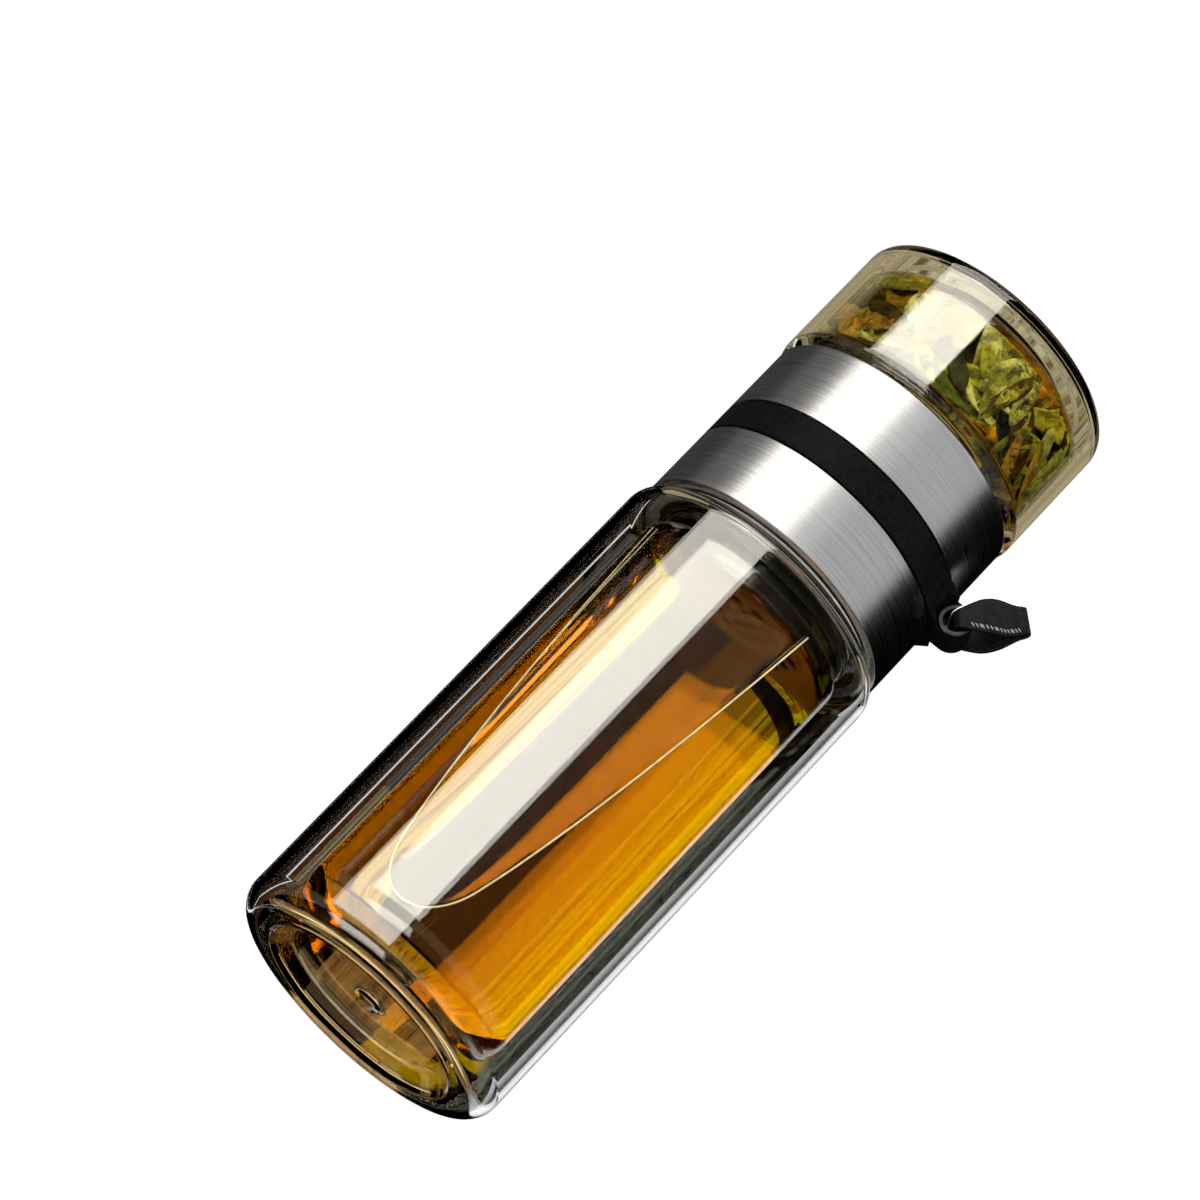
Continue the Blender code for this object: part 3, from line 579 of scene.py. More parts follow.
glass = glass_material()
tea = tea_material()
steel = brushed_steel()
basket_stops = [(0.3, (0.05, 0.048, 0.042)), (0.7, (0.12, 0.115, 0.1))]
strainer_steel = dark_metal("strainer_steel", 90, basket_stops, (0.16, 0.3))
black_plastic = plastic("black_plastic", (0.002, 0.002, 0.0022), (0.3, 0.42), gloss=0.04)
silicone = plastic("clear_silicone", (0.5, 0.48, 0.44), (0.35, 0.5), grain=300)
eyelet_stops = [(0.3, (0.03, 0.03, 0.03)), (0.8, (0.08, 0.08, 0.078))]
black_metal = dark_metal("black_metal", 500, eyelet_stops, (0.2, 0.4))
leather = leather_material()
leaf = leaf_material()
# Pale tan bead along the tea's edge: a painted highlight on the meniscus.
meniscus_painted_highlight = plastic("tea_edge_painted_highlight", (0.66, 0.56, 0.34), (0.1, 0.2), grain=700)
thread = plastic("black_thread", (0.16, 0.16, 0.16), (0.3, 0.45), grain=3000)
# Pale grey rim beads on the black strap: a painted highlight along its upper edges.
rim_painted_highlight = plastic("strap_rim_painted_highlight", (0.62, 0.62, 0.62), (0.12, 0.2))


# Body glass


def make_outer_glass():
    """The outer wall with its hollow base and the pip in the middle, drawn as one piece of glass."""
    inside = BODY_RADIUS - BODY_WALL
    neck = NECK_RADIUS + SEAT_GAP
    top = body_high.z
    floor = BASE_HOLLOW + BODY_WALL
    corners = [
        (0, floor + PIP_RISE, 0),
        (PIP_RADIUS, floor + PIP_RISE, PIP_RISE),
        (PIP_RADIUS + PIP_FLARE, floor, PIP_RISE),
        (BASE_SLOPE_INNER, floor, SLOPE_BEND),
        (BASE_RING_INNER, BODY_WALL, SLOPE_BEND),
        (inside, BODY_WALL, BASE_CORNER - BODY_WALL),
        (inside, SHOULDER_HEIGHT - BODY_WALL, SHOULDER_CORNER - BODY_WALL),
        (neck, SHOULDER_HEIGHT - BODY_WALL, NECK_BASE_BEND),
        (neck, top, GLASS_RIM),
        (neck + NECK_WALL, top, GLASS_RIM),
        (neck + NECK_WALL, SHOULDER_HEIGHT, NECK_BASE_BEND),
        (BODY_RADIUS, SHOULDER_HEIGHT, SHOULDER_CORNER),
        (BODY_RADIUS, 0, BASE_CORNER),
        (BASE_RING_INNER, 0, BASE_RING_BEND),
        (BASE_SLOPE_INNER, BASE_HOLLOW, SLOPE_BEND),
        (PIP_RADIUS + PIP_FOOT, BASE_HOLLOW, GLASS_BEND),
        (PIP_RADIUS - PIP_TAPER, BASE_HOLLOW - PIP_STICK_OUT, PIP_BEND),
        (0, BASE_HOLLOW - PIP_STICK_OUT, 0),
    ]
    piece = turned("outer_glass", corners, glass, closed=False)
    settle(piece, "bottle", "clear_glass", "outer_glass_wall", "base_seal_tip")


def make_inner_glass():
    neck_bore = NECK_RADIUS - TUBE_WALL
    corners = [
        (0, BORE_FLOOR, 0),
        (BORE, BORE_FLOOR, TUBE_CORNER - TUBE_WALL),
        (BORE, NECK_FOOT, NECK_BEND),
        (neck_bore, NECK_TOP, NECK_BEND),
        (neck_bore, tube_high.z, GLASS_RIM),
        (NECK_RADIUS, tube_high.z, GLASS_RIM),
        (NECK_RADIUS, NECK_TOP, NECK_BEND),
        (TUBE_RADIUS, NECK_FOOT, NECK_BEND),
        (TUBE_RADIUS, tube_low.z, TUBE_CORNER),
        (0, tube_low.z, 0),
    ]
    piece = turned("inner_glass", corners, glass, closed=False)
    settle(piece, "bottle", "clear_glass", "inner_glass_wall")


# Collars


def make_collar(name, lip, rim_end, lip_inner, lip_depth, body, node):
    """A steel ring with a lip at one end. The lip's depth is counted towards the other end, up or down."""
    bore = COLLAR_RADIUS - COLLAR_WALL
    corners = [
        (COLLAR_RADIUS, rim_end, COLLAR_RIM),
        (COLLAR_RADIUS, lip, COLLAR_EDGE),
        (lip_inner, lip, FINE_EDGE),
        (lip_inner, lip + lip_depth, FINE_EDGE),
        (bore, lip + lip_depth, 0),
        (bore, rim_end, FINE_EDGE),
    ]
    settle(turned(name, corners, steel), body, "brushed_steel", node)


def make_collars():
    inner = COLLAR_RADIUS - COLLAR_WALL - LOWER_LIP_WIDTH
    make_collar("lower_collar_shell", lower_low.z, lower_high.z, inner, COLLAR_LIP, "bottle", "lower_collar")
    inner = FOOT_RADIUS + SEAT_GAP
    make_collar("upper_collar_shell", upper_high.z, upper_low.z, inner, -COLLAR_LIP, "cup", "upper_collar")


# Cup glass


def make_cup_outer_glass():
    """The cup's outer wall, with the step that stands on the collar and the pip in its hollow end."""
    inside = CUP_RADIUS - CUP_WALL
    bore = FOOT_RADIUS - CUP_FOOT_WALL
    hollow = CUP_TOP - CUP_END_HOLLOW
    ceiling = hollow - CUP_WALL
    corners = [
        (0, hollow + PIP_STICK_OUT / 2, 0),
        (PIP_RADIUS - PIP_TAPER, hollow + PIP_STICK_OUT / 2, GLASS_RIM),
        (PIP_RADIUS + PIP_FOOT, hollow, GLASS_BEND),
        (CUP_END_SLOPE, hollow, RING_BEND),
        (CUP_END_RING, CUP_TOP, RING_BEND),
        (CUP_RADIUS, CUP_TOP, CUP_CORNER),
        (CUP_RADIUS, CUP_STEP, SLOPE_BEND),
        (FOOT_RADIUS, CUP_STEP, GLASS_BEND),
        (FOOT_RADIUS, CUP_RIM, GLASS_RIM),
        (bore, CUP_RIM, GLASS_RIM),
        (bore, CUP_STEP + CUP_WALL, GLASS_BEND),
        (inside, CUP_STEP + CUP_WALL, RING_BEND),
        (inside, CUP_TOP - CUP_WALL, CUP_INNER_CORNER),
        (CUP_END_RING, CUP_TOP - CUP_WALL, RING_BEND),
        (CUP_END_SLOPE, ceiling, RING_BEND),
        (PIP_RADIUS + PIP_FLARE, ceiling, GLASS_BEND),
        (PIP_RADIUS, ceiling - CUP_PIP_RISE, CUP_PIP_EDGE),
        (0, ceiling - CUP_PIP_RISE, 0),
    ]
    piece = turned("cup_outer_shell", corners, glass, closed=False)
    settle(piece, "cup", "clear_glass", "cup_outer_glass", "cup_seal_tip")


def make_cup_inner_glass():
    bore = CUP_LINER_RADIUS - CUP_LINER_WALL
    end = cup_liner_high.z
    corners = [
        (0, end, 0),
        (CUP_BELLY_RADIUS, end, CUP_LINER_CORNER),
        (CUP_BELLY_RADIUS, CUP_BELLY_LOW, RING_BEND),
        (CUP_LINER_RADIUS, CUP_BELLY_LOW, GLASS_BEND),
        (CUP_LINER_RADIUS, CUP_RIM, GLASS_RIM),
        (bore, CUP_RIM, GLASS_RIM),
        (bore, CHAMBER_LOW, GLASS_BEND),
        (CHAMBER_RADIUS, CHAMBER_LOW, RING_BEND),
        (CHAMBER_RADIUS, CHAMBER_TOP, CHAMBER_CORNER),
        (0, CHAMBER_TOP, 0),
    ]
    piece = turned("cup_inner_shell", corners, glass, closed=False)
    settle(piece, "cup", "clear_glass", "cup_inner_glass")


# Band, lug, eyelet and strap


def flat_prism(name, outline, low, high, to_point):
    """A prism between two levels over an outline, in the space that to_point gives."""
    sections = [[to_point(u, v, level) for u, v in outline] for level in (low, high)]
    return link(name, lofted(name, sections), black_plastic)


def drill(radius, first, last):
    """A cylinder along Y about the eyelet's axis, to cut with."""
    ring = [(EYELET.x + x, EYELET.z + z) for x, z in circle(radius, DRILL_SIDES)]
    sections = [[(x, y, z) for x, z in ring] for y in (first, last)]
    return link("drill", lofted("drill", sections), black_plastic)


def make_band():
    """The strap's band, with a lug whose straight flanks run into a half-round nose."""
    low, high = band_low.z, band_high.z
    ring = [
        (COLLAR_RADIUS, high, COLLAR_EDGE),
        (COLLAR_RADIUS, low, COLLAR_EDGE),
        (BAND_BORE, low, FINE_EDGE),
        (BAND_BORE, high, FINE_EDGE),
    ]
    band = turned("band_ring", ring, black_plastic)
    band.modifiers.clear()
    half_height = (high - low) / 2
    half = LUG_THICKNESS / 2
    root = BAND_BORE + LUG_ROOT
    side = [(root, -half_height)]
    for step in range(LUG_NOSE_STEPS + 1):
        angle = math.pi * (step / LUG_NOSE_STEPS - 0.5)
        side.append((EYELET.x + half_height * math.cos(angle), half_height * math.sin(angle)))
    side.append((root, half_height))
    flank = math.radians(LUG_FLANK_ANGLE)
    inside = COLLAR_RADIUS - SEAT_GAP
    right = [
        (root, -inside * math.sin(flank)),
        (inside * math.cos(flank), -inside * math.sin(flank)),
        (EYELET.x - LUG_FLANK_END, -half),
        (EYELET.x + 2 * half_height, -half),
    ]
    top = right + [(x, -y) for x, y in reversed(right)]
    reach = COLLAR_RADIUS
    lug = flat_prism("lug", side, -reach, reach, lambda u, v, y: (u, y, BAND_MID + v))
    reach = 2 * half_height
    plan = flat_prism("lug_plan", top, -reach, reach, lambda u, v, z: (u, v, BAND_MID + z))
    boolean(lug, plan, "INTERSECT")
    boolean(band, lug, "UNION")
    boolean(band, drill(LUG_BORE, -COLLAR_RADIUS, COLLAR_RADIUS))
    spot = half_height + SPOT_FACE_MARGIN
    boolean(band, drill(spot, -COLLAR_RADIUS, -half))
    boolean(band, drill(spot, half, COLLAR_RADIUS))
    soften(band, BAND_SOFTENING)
    settle(band, "band", "black_plastic", "strap_band")


def soften(obj, width):
    """Small rounded edges, from a bevel."""
    bevel = obj.modifiers.new("Edges", "BEVEL")
    bevel.width = width
    bevel.segments = 3
    bevel.limit_method = "ANGLE"
    bevel.angle_limit = math.radians(50.0)
    apply_modifiers(obj)
    smooth(obj.data)
    flatten_normals(obj)


def make_eyelet():
    tube = EYELET_BORE + EYELET_WALL
    flange = tube + EYELET_FLANGE
    inner = LUG_THICKNESS / 2 + SEAT_GAP
    corners = [
        (flange, EYELET_FACE, EYELET_EDGE),
        (flange, inner, 0),
        (tube, inner, 0),
        (tube, -inner, 0),
        (flange, -inner, 0),
        (flange, -EYELET_FACE, EYELET_EDGE),
        (EYELET_BORE, -EYELET_FACE, EYELET_MOUTH),
        (EYELET_BORE, EYELET_FACE, EYELET_MOUTH),
    ]
    eyelet = turned("eyelet", corners, black_metal, sides=EYELET_SIDES)
    eyelet.data.transform(Matrix.Translation(EYELET) @ Matrix.Rotation(math.pi / 2, 4, "X"))
    settle(eyelet, "band", "black_metal", "lug_eyelet")


def ease(share):
    share = min(max(share, 0), 1)
    return share * share * (3 - 2 * share)


def strap_half_width(out):
    share = out / STRAP_LENGTH
    swell = math.sin(math.pi / 2 * min(max(share, 0) / STRAP_WIDEST, 1))
    taper = STRAP_TAPER * ease((share - STRAP_WIDEST) / (1 - STRAP_WIDEST))
    return STRAP_NECK + (STRAP_HALF_WIDTH - STRAP_NECK) * swell * (1 - taper)


def strap_route():
    """The loop's centre line seen edge-on, as points (out from the eyelet's axis, along that axis)."""
    leg = EYELET_FACE + SEAT_GAP + STRAP_THICKNESS / 2
    tip = STRAP_THICKNESS / 2 + STRAP_TIP_GAP
    half = [(0, (leg - STRAP_BEND) * k / STRAP_LEG_STEPS) for k in range(STRAP_LEG_STEPS + 1)]
    for step in range(1, STRAP_BEND_STEPS + 1):
        angle = math.pi / 2 * step / STRAP_BEND_STEPS
        half.append((STRAP_BEND * (1 - math.cos(angle)), leg - STRAP_BEND * (1 - math.sin(angle))))
    straight = STRAP_LENGTH * STRAP_LEGS_PART
    closed_at = STRAP_LENGTH - tip
    for step in range(1, STRAP_RUN_STEPS + 1):
        out = STRAP_BEND + (closed_at - STRAP_BEND) * step / STRAP_RUN_STEPS
        drop = ease((out - straight) / (closed_at - straight))
        half.append((out, leg + (tip - leg) * drop))
    for step in range(1, STRAP_TIP_STEPS):
        angle = math.pi / 2 * step / STRAP_TIP_STEPS
        half.append((closed_at + tip * math.sin(angle), tip * math.cos(angle)))
    back = [(out, -along) for out, along in reversed(half[1:])]
    return [Vector((out, along, 0)) for out, along in half + [(STRAP_LENGTH, 0)] + back]


def across_at(route, i):
    """The direction square to a closed route at one of its points, in the route's plane."""
    run = (route[(i + 1) % len(route)] - route[i - 1]).normalized()
    return Vector((-run.y, run.x, 0))


def make_strap():
    """A leather loop with rounded edges, its rim beads, pale grey as a painted highlight, and its stitches."""
    route = strap_route()
    thick = STRAP_THICKNESS / 2
    place = Matrix.Translation(EYELET) @ Matrix.Rotation(-STRAP_ANGLE, 4, "Y")
    sections = []
    for i, centre in enumerate(route):
        across = across_at(route, i)
        wide = strap_half_width(centre.x)
        outline = []
        for step in range(STRAP_EDGE_STEPS + 1):
            angle = math.pi / 2 * step / STRAP_EDGE_STEPS
            inward = STRAP_EDGE * (1 - math.cos(angle))
            outline.append((thick - inward, wide - STRAP_EDGE * (1 - math.sin(angle))))
        outline += [(-a, b) for a, b in reversed(outline)]
        outline += [(-a, -b) for a, b in outline]
        sections.append([place @ (centre + across * a + Vector((0, 0, b))) for a, b in outline])
    mesh = lofted("strap", sections, closed=True)
    smooth(mesh, 50)
    settle(link("strap", mesh, leather), "strap", "black_leather", "strap_loop")
    make_strap_highlight_rim("strap_highlight_rim_out", place, route, 1)
    make_strap_highlight_rim("strap_highlight_rim_in", place, route, -1)
    make_stitches(place, route)


def make_strap_highlight_rim(name, place, route, face):
    """A fine polished bead along the strap's upper edge, at one of its faces, pale grey as a painted
    highlight.
    """
    reach = face * (STRAP_THICKNESS / 2 - RIM_INSET)
    up = Vector((0, 0, 1))
    sections = []
    for i, centre in enumerate(route):
        across = across_at(route, i)
        middle = centre + across * reach + up * (strap_half_width(centre.x) - RIM_INSET)
        sections.append([place @ point for point in ring_round(middle, across, up, RIM_BEAD)])
    mesh = lofted(name, sections, closed=True)
    smooth(mesh, 80)
    settle(link(name, mesh, rim_painted_highlight), "strap", "black_leather")


def stitch_into(work, place, middle, away):
    """One thread that lies on a face and tapers to both ends."""
    side = STITCH_LEAN.cross(away).normalized()
    sections = []
    for step in range(STITCH_STEPS + 1):
        share = -1 + 2 * step / STITCH_STEPS
        radius = STITCH_RADIUS * math.sqrt(max(1 - share * share, STITCH_END))
        centre = middle + STITCH_LEAN * share * STITCH_LENGTH / 2
        sections.append([place @ point for point in ring_round(centre, side, away, radius)])
    loft_into(work, sections)


def make_stitches(place, route):
    """Short threads across the strap's lower edge, on both of its legs."""
    stops = [i for i in range(1, len(route) // 2) if route[i].x > STRAP_BEND / 2]
    work = bmesh.new()
    for leg in (1, -1):
        for k in range(STITCH_COUNT):
            out = STRAP_LENGTH * (STITCH_FIRST + (STITCH_LAST - STITCH_FIRST) * k / (STITCH_COUNT - 1))
            near = min(stops, key=lambda i: abs(route[i].x - out))
            away = across_at(route, near)
            face = route[near] + away * STRAP_THICKNESS / 2
            middle = Vector((face.x, face.y * leg, STITCH_INSET - strap_half_width(route[near].x)))
            stitch_into(work, place, middle, Vector((away.x, away.y * leg, 0)))
    mesh = solid_mesh("strap_stitches", work)
    smooth(mesh, 80)
    settle(link("strap_stitches", mesh, thread), "strap", "black_leather")


# Strainer


def drill_through(place, reach):
    """A cylinder about a place's own Z, to cut a hole of the basket with."""
    ring = circle(BASKET_HOLE, HOLE_SIDES)
    sections = [[place @ Vector((x, y, z)) for x, y in ring] for z in (-reach, reach)]
    return link("drill", lofted("drill", sections), black_plastic)


def make_basket():
    """The strainer's steel basket, with holes in its floor and low in its wall."""
    low, high = basket_low.z, basket_high.z
    inside = BASKET_RADIUS - BASKET_WALL
    corners = [
        (0, low + BASKET_WALL, 0),
        (inside, low + BASKET_WALL, BASKET_CORNER - BASKET_WALL),
        (inside, high, BASKET_MOUTH_EDGE),
        (basket_high.x, high, BASKET_RIM_EDGE),
        (basket_high.x, high - BASKET_WALL, BASKET_RIM_EDGE),
        (BASKET_RADIUS, high - BASKET_WALL, BASKET_RIM_BEND),
        (BASKET_RADIUS, low, BASKET_CORNER),
        (0, low, 0),
    ]
    basket = turned("basket", corners, strainer_steel, closed=False)
    for row in range(-FLOOR_HOLE_RINGS, FLOOR_HOLE_RINGS + 1):
        for column in range(-FLOOR_HOLE_RINGS, FLOOR_HOLE_RINGS + 1):
            if abs(row + column) <= FLOOR_HOLE_RINGS:
                x = FLOOR_HOLE_PITCH * (column + row / 2)
                y = FLOOR_HOLE_PITCH * row * math.sqrt(3) / 2
                place = Matrix.Translation((x, y, low))
                boolean(basket, drill_through(place, 2 * BASKET_WALL))
    for row in range(SIDE_HOLE_ROWS):
        for column in range(SIDE_HOLE_COLUMNS):
            angle = math.pi * (column + row / 2) / SIDE_HOLE_COLUMNS
            place = Matrix.Translation((0, 0, low + SIDE_HOLE_PITCH * (row + 1)))
            place = place @ Matrix.Rotation(angle, 4, "Z") @ Matrix.Rotation(math.pi / 2, 4, "X")
            boolean(basket, drill_through(place, 1.5 * BASKET_RADIUS))
    smooth(basket.data)
    flatten_normals(basket)
    settle(basket, "strainer", "brushed_steel", "strainer_basket")


def make_shoulder_gasket():
    low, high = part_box("shoulder_gasket")
    inner = high.x - GASKET_WIDTH
    places = [(high.x, high.z), (high.x, low.z), (inner, low.z), (inner, high.z)]
    corners = [(radius, height, FINE_EDGE) for radius, height in places]
    settle(turned("shoulder_ring", corners, silicone), "bottle", "clear_silicone", "shoulder_gasket")


# Leaves


def leaf_blade(work, place, length, width, curl, twist, wave):
    """One curled leaf, as a thin sheet with a folded midrib."""
    rows = []
    for i in range(LEAF_STEPS + 1):
        share = i / LEAF_STEPS
        blunt = math.sin(math.pi * share) ** LEAF_BLUNTNESS
        half = width / 2 * blunt * (1 - LEAF_TAPER * share) + LEAF_TIP
        angle = curl * (share - 0.5)
        reach = length / curl if abs(curl) > LEAF_STRAIGHT else 0
        along = reach * math.sin(angle) if reach else length * (share - 0.5)
        lift = reach * (1 - math.cos(angle)) if reach else 0
        roll = twist * (share - 0.5)
        row = []
        for j in range(LEAF_ACROSS + 1):
            side = 2 * j / LEAF_ACROSS - 1
            ripple = wave * math.sin(LEAF_RIPPLES[0] * share + LEAF_RIPPLES[1] * side)
            fold = LEAF_FOLD * half * abs(side) + ripple
            y = half * side * math.cos(roll) - fold * math.sin(roll)
            z = half * side * math.sin(roll) + fold * math.cos(roll) + lift
            row.append(work.verts.new(place @ Vector((along, y, z))))
        rows.append(row)
    for here, there in zip(rows, rows[1:]):
        for j in range(LEAF_ACROSS):
            work.faces.new((here[j], here[j + 1], there[j + 1], there[j]))


def make_leaves():
    """Tea leaves that crowd the cup, more of them near its wall, none through it."""
    rng = random.Random(LEAF_SEED)
    belly = CHAMBER_RADIUS - LEAF_WALL_GAP
    low = CHAMBER_LOW + LEAF_END_GAP
    high = CHAMBER_TOP - LEAF_END_GAP
    work = bmesh.new()
    for k in range(LEAF_COUNT):
        length = rng.uniform(*LEAF_LENGTH) * MM
        width = rng.uniform(*LEAF_WIDTH) * MM
        azimuth = math.tau * (k * LEAF_TURN + rng.uniform(-LEAF_SCATTER, LEAF_SCATTER))
        radius = belly * math.sqrt(rng.uniform(*LEAF_SPREAD))
        height = rng.uniform(low, high)
        tilt = math.pi / 2 + rng.uniform(-LEAF_TILT, LEAF_TILT)
        face = Matrix.Rotation(azimuth, 4, "Z") @ Matrix.Rotation(tilt, 4, "Y")
        face = face @ Matrix.Rotation(rng.uniform(0, math.tau), 4, "Z")
        centre = (radius * math.cos(azimuth), radius * math.sin(azimuth), height)
        curl = rng.uniform(-LEAF_CURL, LEAF_CURL)
        twist = rng.uniform(-LEAF_TWIST, LEAF_TWIST)
        wave = rng.uniform(*LEAF_WAVE) * MM
        leaf_blade(work, Matrix.Translation(centre) @ face, length, width, curl, twist, wave)
    for vert in work.verts:
        limit = belly
        vert.co.z = min(max(vert.co.z, low), high)
        above = vert.co.z - high + CHAMBER_CORNER
        if above > 0:
            limit = belly - CHAMBER_CORNER + math.sqrt(max(CHAMBER_CORNER**2 - above**2, 0))
        reach = math.hypot(vert.co.x, vert.co.y)
        if reach > limit:
            vert.co.x *= limit / reach
            vert.co.y *= limit / reach
    mesh = to_mesh("tea_leaves", work)
    mesh.shade_smooth()
    leaves = link("tea_leaves", mesh, leaf)
    thick = leaves.modifiers.new("Thickness", "SOLIDIFY")
    thick.thickness = LEAF_THICKNESS
    thick.offset = 0
    apply_modifiers(leaves)
    settle(leaves, "cup", "clear_glass")


# Tea


def tea_reach(height):
    """How far the tea stands from the axis towards the air above it, at a height along the bottle."""
    reach = TEA_LEVEL - TEA_SLOPE * (height - TEA_LEVEL_HEIGHT)
    nose = max(0, AIR_NOSE - height) / AIR_NOSE_LENGTH
    return reach + AIR_NOSE_RISE * nose * nose


def tea_section(radius, height):
    """One slice of the tea: the wetted arc, and the free surface, drawn up where it meets the glass."""
    reach = min(tea_reach(height), TEA_FULL * radius)
    half = math.acos(reach / radius)
    points = []
    for k in range(TEA_ARC_POINTS):
        angle = TEA_UP + half + (math.tau - 2 * half) * k / TEA_ARC_POINTS
        points.append((radius * math.cos(angle), radius * math.sin(angle), height))
    up = Vector((math.cos(TEA_UP), math.sin(TEA_UP), 0))
    across = Vector((-up.y, up.x, 0))
    width = radius * math.sin(half)
    for k in range(TEA_CHORD_POINTS):
        share = -math.cos(math.pi * k / TEA_CHORD_POINTS)
        from_wall = width * (1 - abs(share))
        climb = MENISCUS * math.exp(-from_wall / MENISCUS_REACH) if k else 0
        side = share * width
        outside = math.sqrt(max(radius * radius - side * side, 0))
        point = up * min(reach + climb, outside) + across * side
        points.append((point.x, point.y, height))
    return points


def cut_back(corner, from_end):
    """How much a rounded corner takes off the radius at a distance from the chamber's end."""
    return corner - math.sqrt(max(corner**2 - max(0, corner - from_end) ** 2, 0))


def make_body_tea():
    """Tea in the body's bore, from its rounded foot to the strainer, narrower in the neck."""
    low = BORE_FLOOR - WETTED
    high = rim_low.z - TEA_TOP_GAP
    sections = []
    for k in range(TEA_STEPS + 1):
        height = low + (high - low) * (0.5 - 0.5 * math.cos(math.pi * k / TEA_STEPS))
        radius = BORE + WETTED - cut_back(TUBE_CORNER - TUBE_WALL, height - low)
        radius -= cut_back(FINE_EDGE, high - height)
        radius -= (TUBE_RADIUS - NECK_RADIUS) * ease((height - NECK_FOOT) / (NECK_TOP - NECK_FOOT))
        sections.append(tea_section(radius, height))
    mesh = lofted("body_tea", sections)
    smooth(mesh, 30)
    settle(link("body_tea", mesh, tea), "bottle", "clear_glass")


def closing_height(radius):
    """The height at which the air above the tea begins."""
    low, high = BORE_FLOOR, TEA_LEVEL_HEIGHT
    for _ in range(HALVINGS):
        middle = (low + high) / 2
        if tea_reach(middle) > radius:
            low = middle
        else:
            high = middle
    return high


def make_meniscus_highlight():
    """A fine pale bead where the tea's surface meets the glass, up both sides and round the air's tip: a
    painted highlight along the meniscus.
    """
    radius = BORE - EDGE_BEAD
    low = closing_height(radius)
    high = NECK_FOOT - EDGE_BEAD_STOP
    path = []
    for k in range(EDGE_BEAD_STEPS + 1):
        height = low + (high - low) * k / EDGE_BEAD_STEPS
        path.append((math.acos(min(tea_reach(height) / radius, 1)), height))
    walk = [(TEA_UP - half, height) for half, height in reversed(path)]
    walk += [(TEA_UP + half, height) for half, height in path if half > 0]
    centres = [Vector((radius * math.cos(angle), radius * math.sin(angle), z)) for angle, z in walk]
    sections = []
    for i, centre in enumerate(centres):
        run = centres[min(i + 1, len(centres) - 1)] - centres[max(i - 1, 0)]
        out = Vector((centre.x, centre.y, 0)).normalized()
        side = run.cross(out).normalized()
        sections.append(ring_round(centre, side, out, EDGE_BEAD))
    mesh = lofted("body_tea_painted_highlight", sections)
    smooth(mesh, 80)
    settle(link("body_tea_painted_highlight", mesh, meniscus_painted_highlight), "bottle", "clear_glass")


def make_cup_tea():
    """The cup is full: its tea has no free surface."""
    wetted = CHAMBER_RADIUS + WETTED
    corners = [
        (0, CHAMBER_TOP + WETTED, 0),
        (wetted, CHAMBER_TOP + WETTED, CHAMBER_CORNER),
        (wetted, CHAMBER_LOW - WETTED, CUP_TEA_FOOT),
        (0, CHAMBER_LOW - WETTED, 0),
    ]
    settle(turned("cup_tea", corners, tea, closed=False), "cup", "clear_glass")


# Scene round the bottle

# The photograph's view, fitted to the outlines of the glass, the collars and the cup
CAMERA_EYE = Vector((0.2007, -0.9441, -0.2743))
CAMERA_FORWARD = Vector((-0.2150, 0.9078, 0.3600))
CAMERA_RIGHT = Vector((0.7558, -0.0788, 0.6501))
CAMERA_LENS = 152.4
CAMERA_NEAR = 0.01
CAMERA_AZIMUTH = -76.7

# Lamps: place, size and power
LAMP_AIM = Vector((0, 0, 0.1))
LAMPS = [
    ("key_lamp", (-0.25, -0.5, 0.5), 0.3, 6.0),
    ("fill_lamp", (0.5, -0.3, 0.3), 0.4, 3.0),
    ("back_lamp", (-0.1, 0.5, 0.5), 0.3, 4.0),
]

# Cards on a ring: first and last angle from the camera's side, what clear glass and what brushed metal sees
RING_RADIUS = 0.55
RING_LOW = -0.7
RING_HIGH = 1.3
LID_LEVEL = 0.8
LID_SIDES = 96
RING_CARDS = [
    ("softbox", -70, -17, 5.6, 2.3, (1.0, 0.965, 0.87)),
    ("softbox_front", -17, 4, 0.02, 0.8, WHITE),
    ("softbox_side", -84, -70, 0.0, 0.3, WHITE),
    ("left_grey", -110, -84, 0.0, 0.16, WHITE),
    ("back_left", -180, -110, 0.0, 0.05, WHITE),
    ("right_grey", 4, 72, 0.02, 0.6, WHITE),
    ("back_right", 72, 180, 0.0, 0.0, WHITE),
]

# The heights that the photograph's view sees behind the body
VIEW_LOW = 0.12
VIEW_HIGH = 0.3155

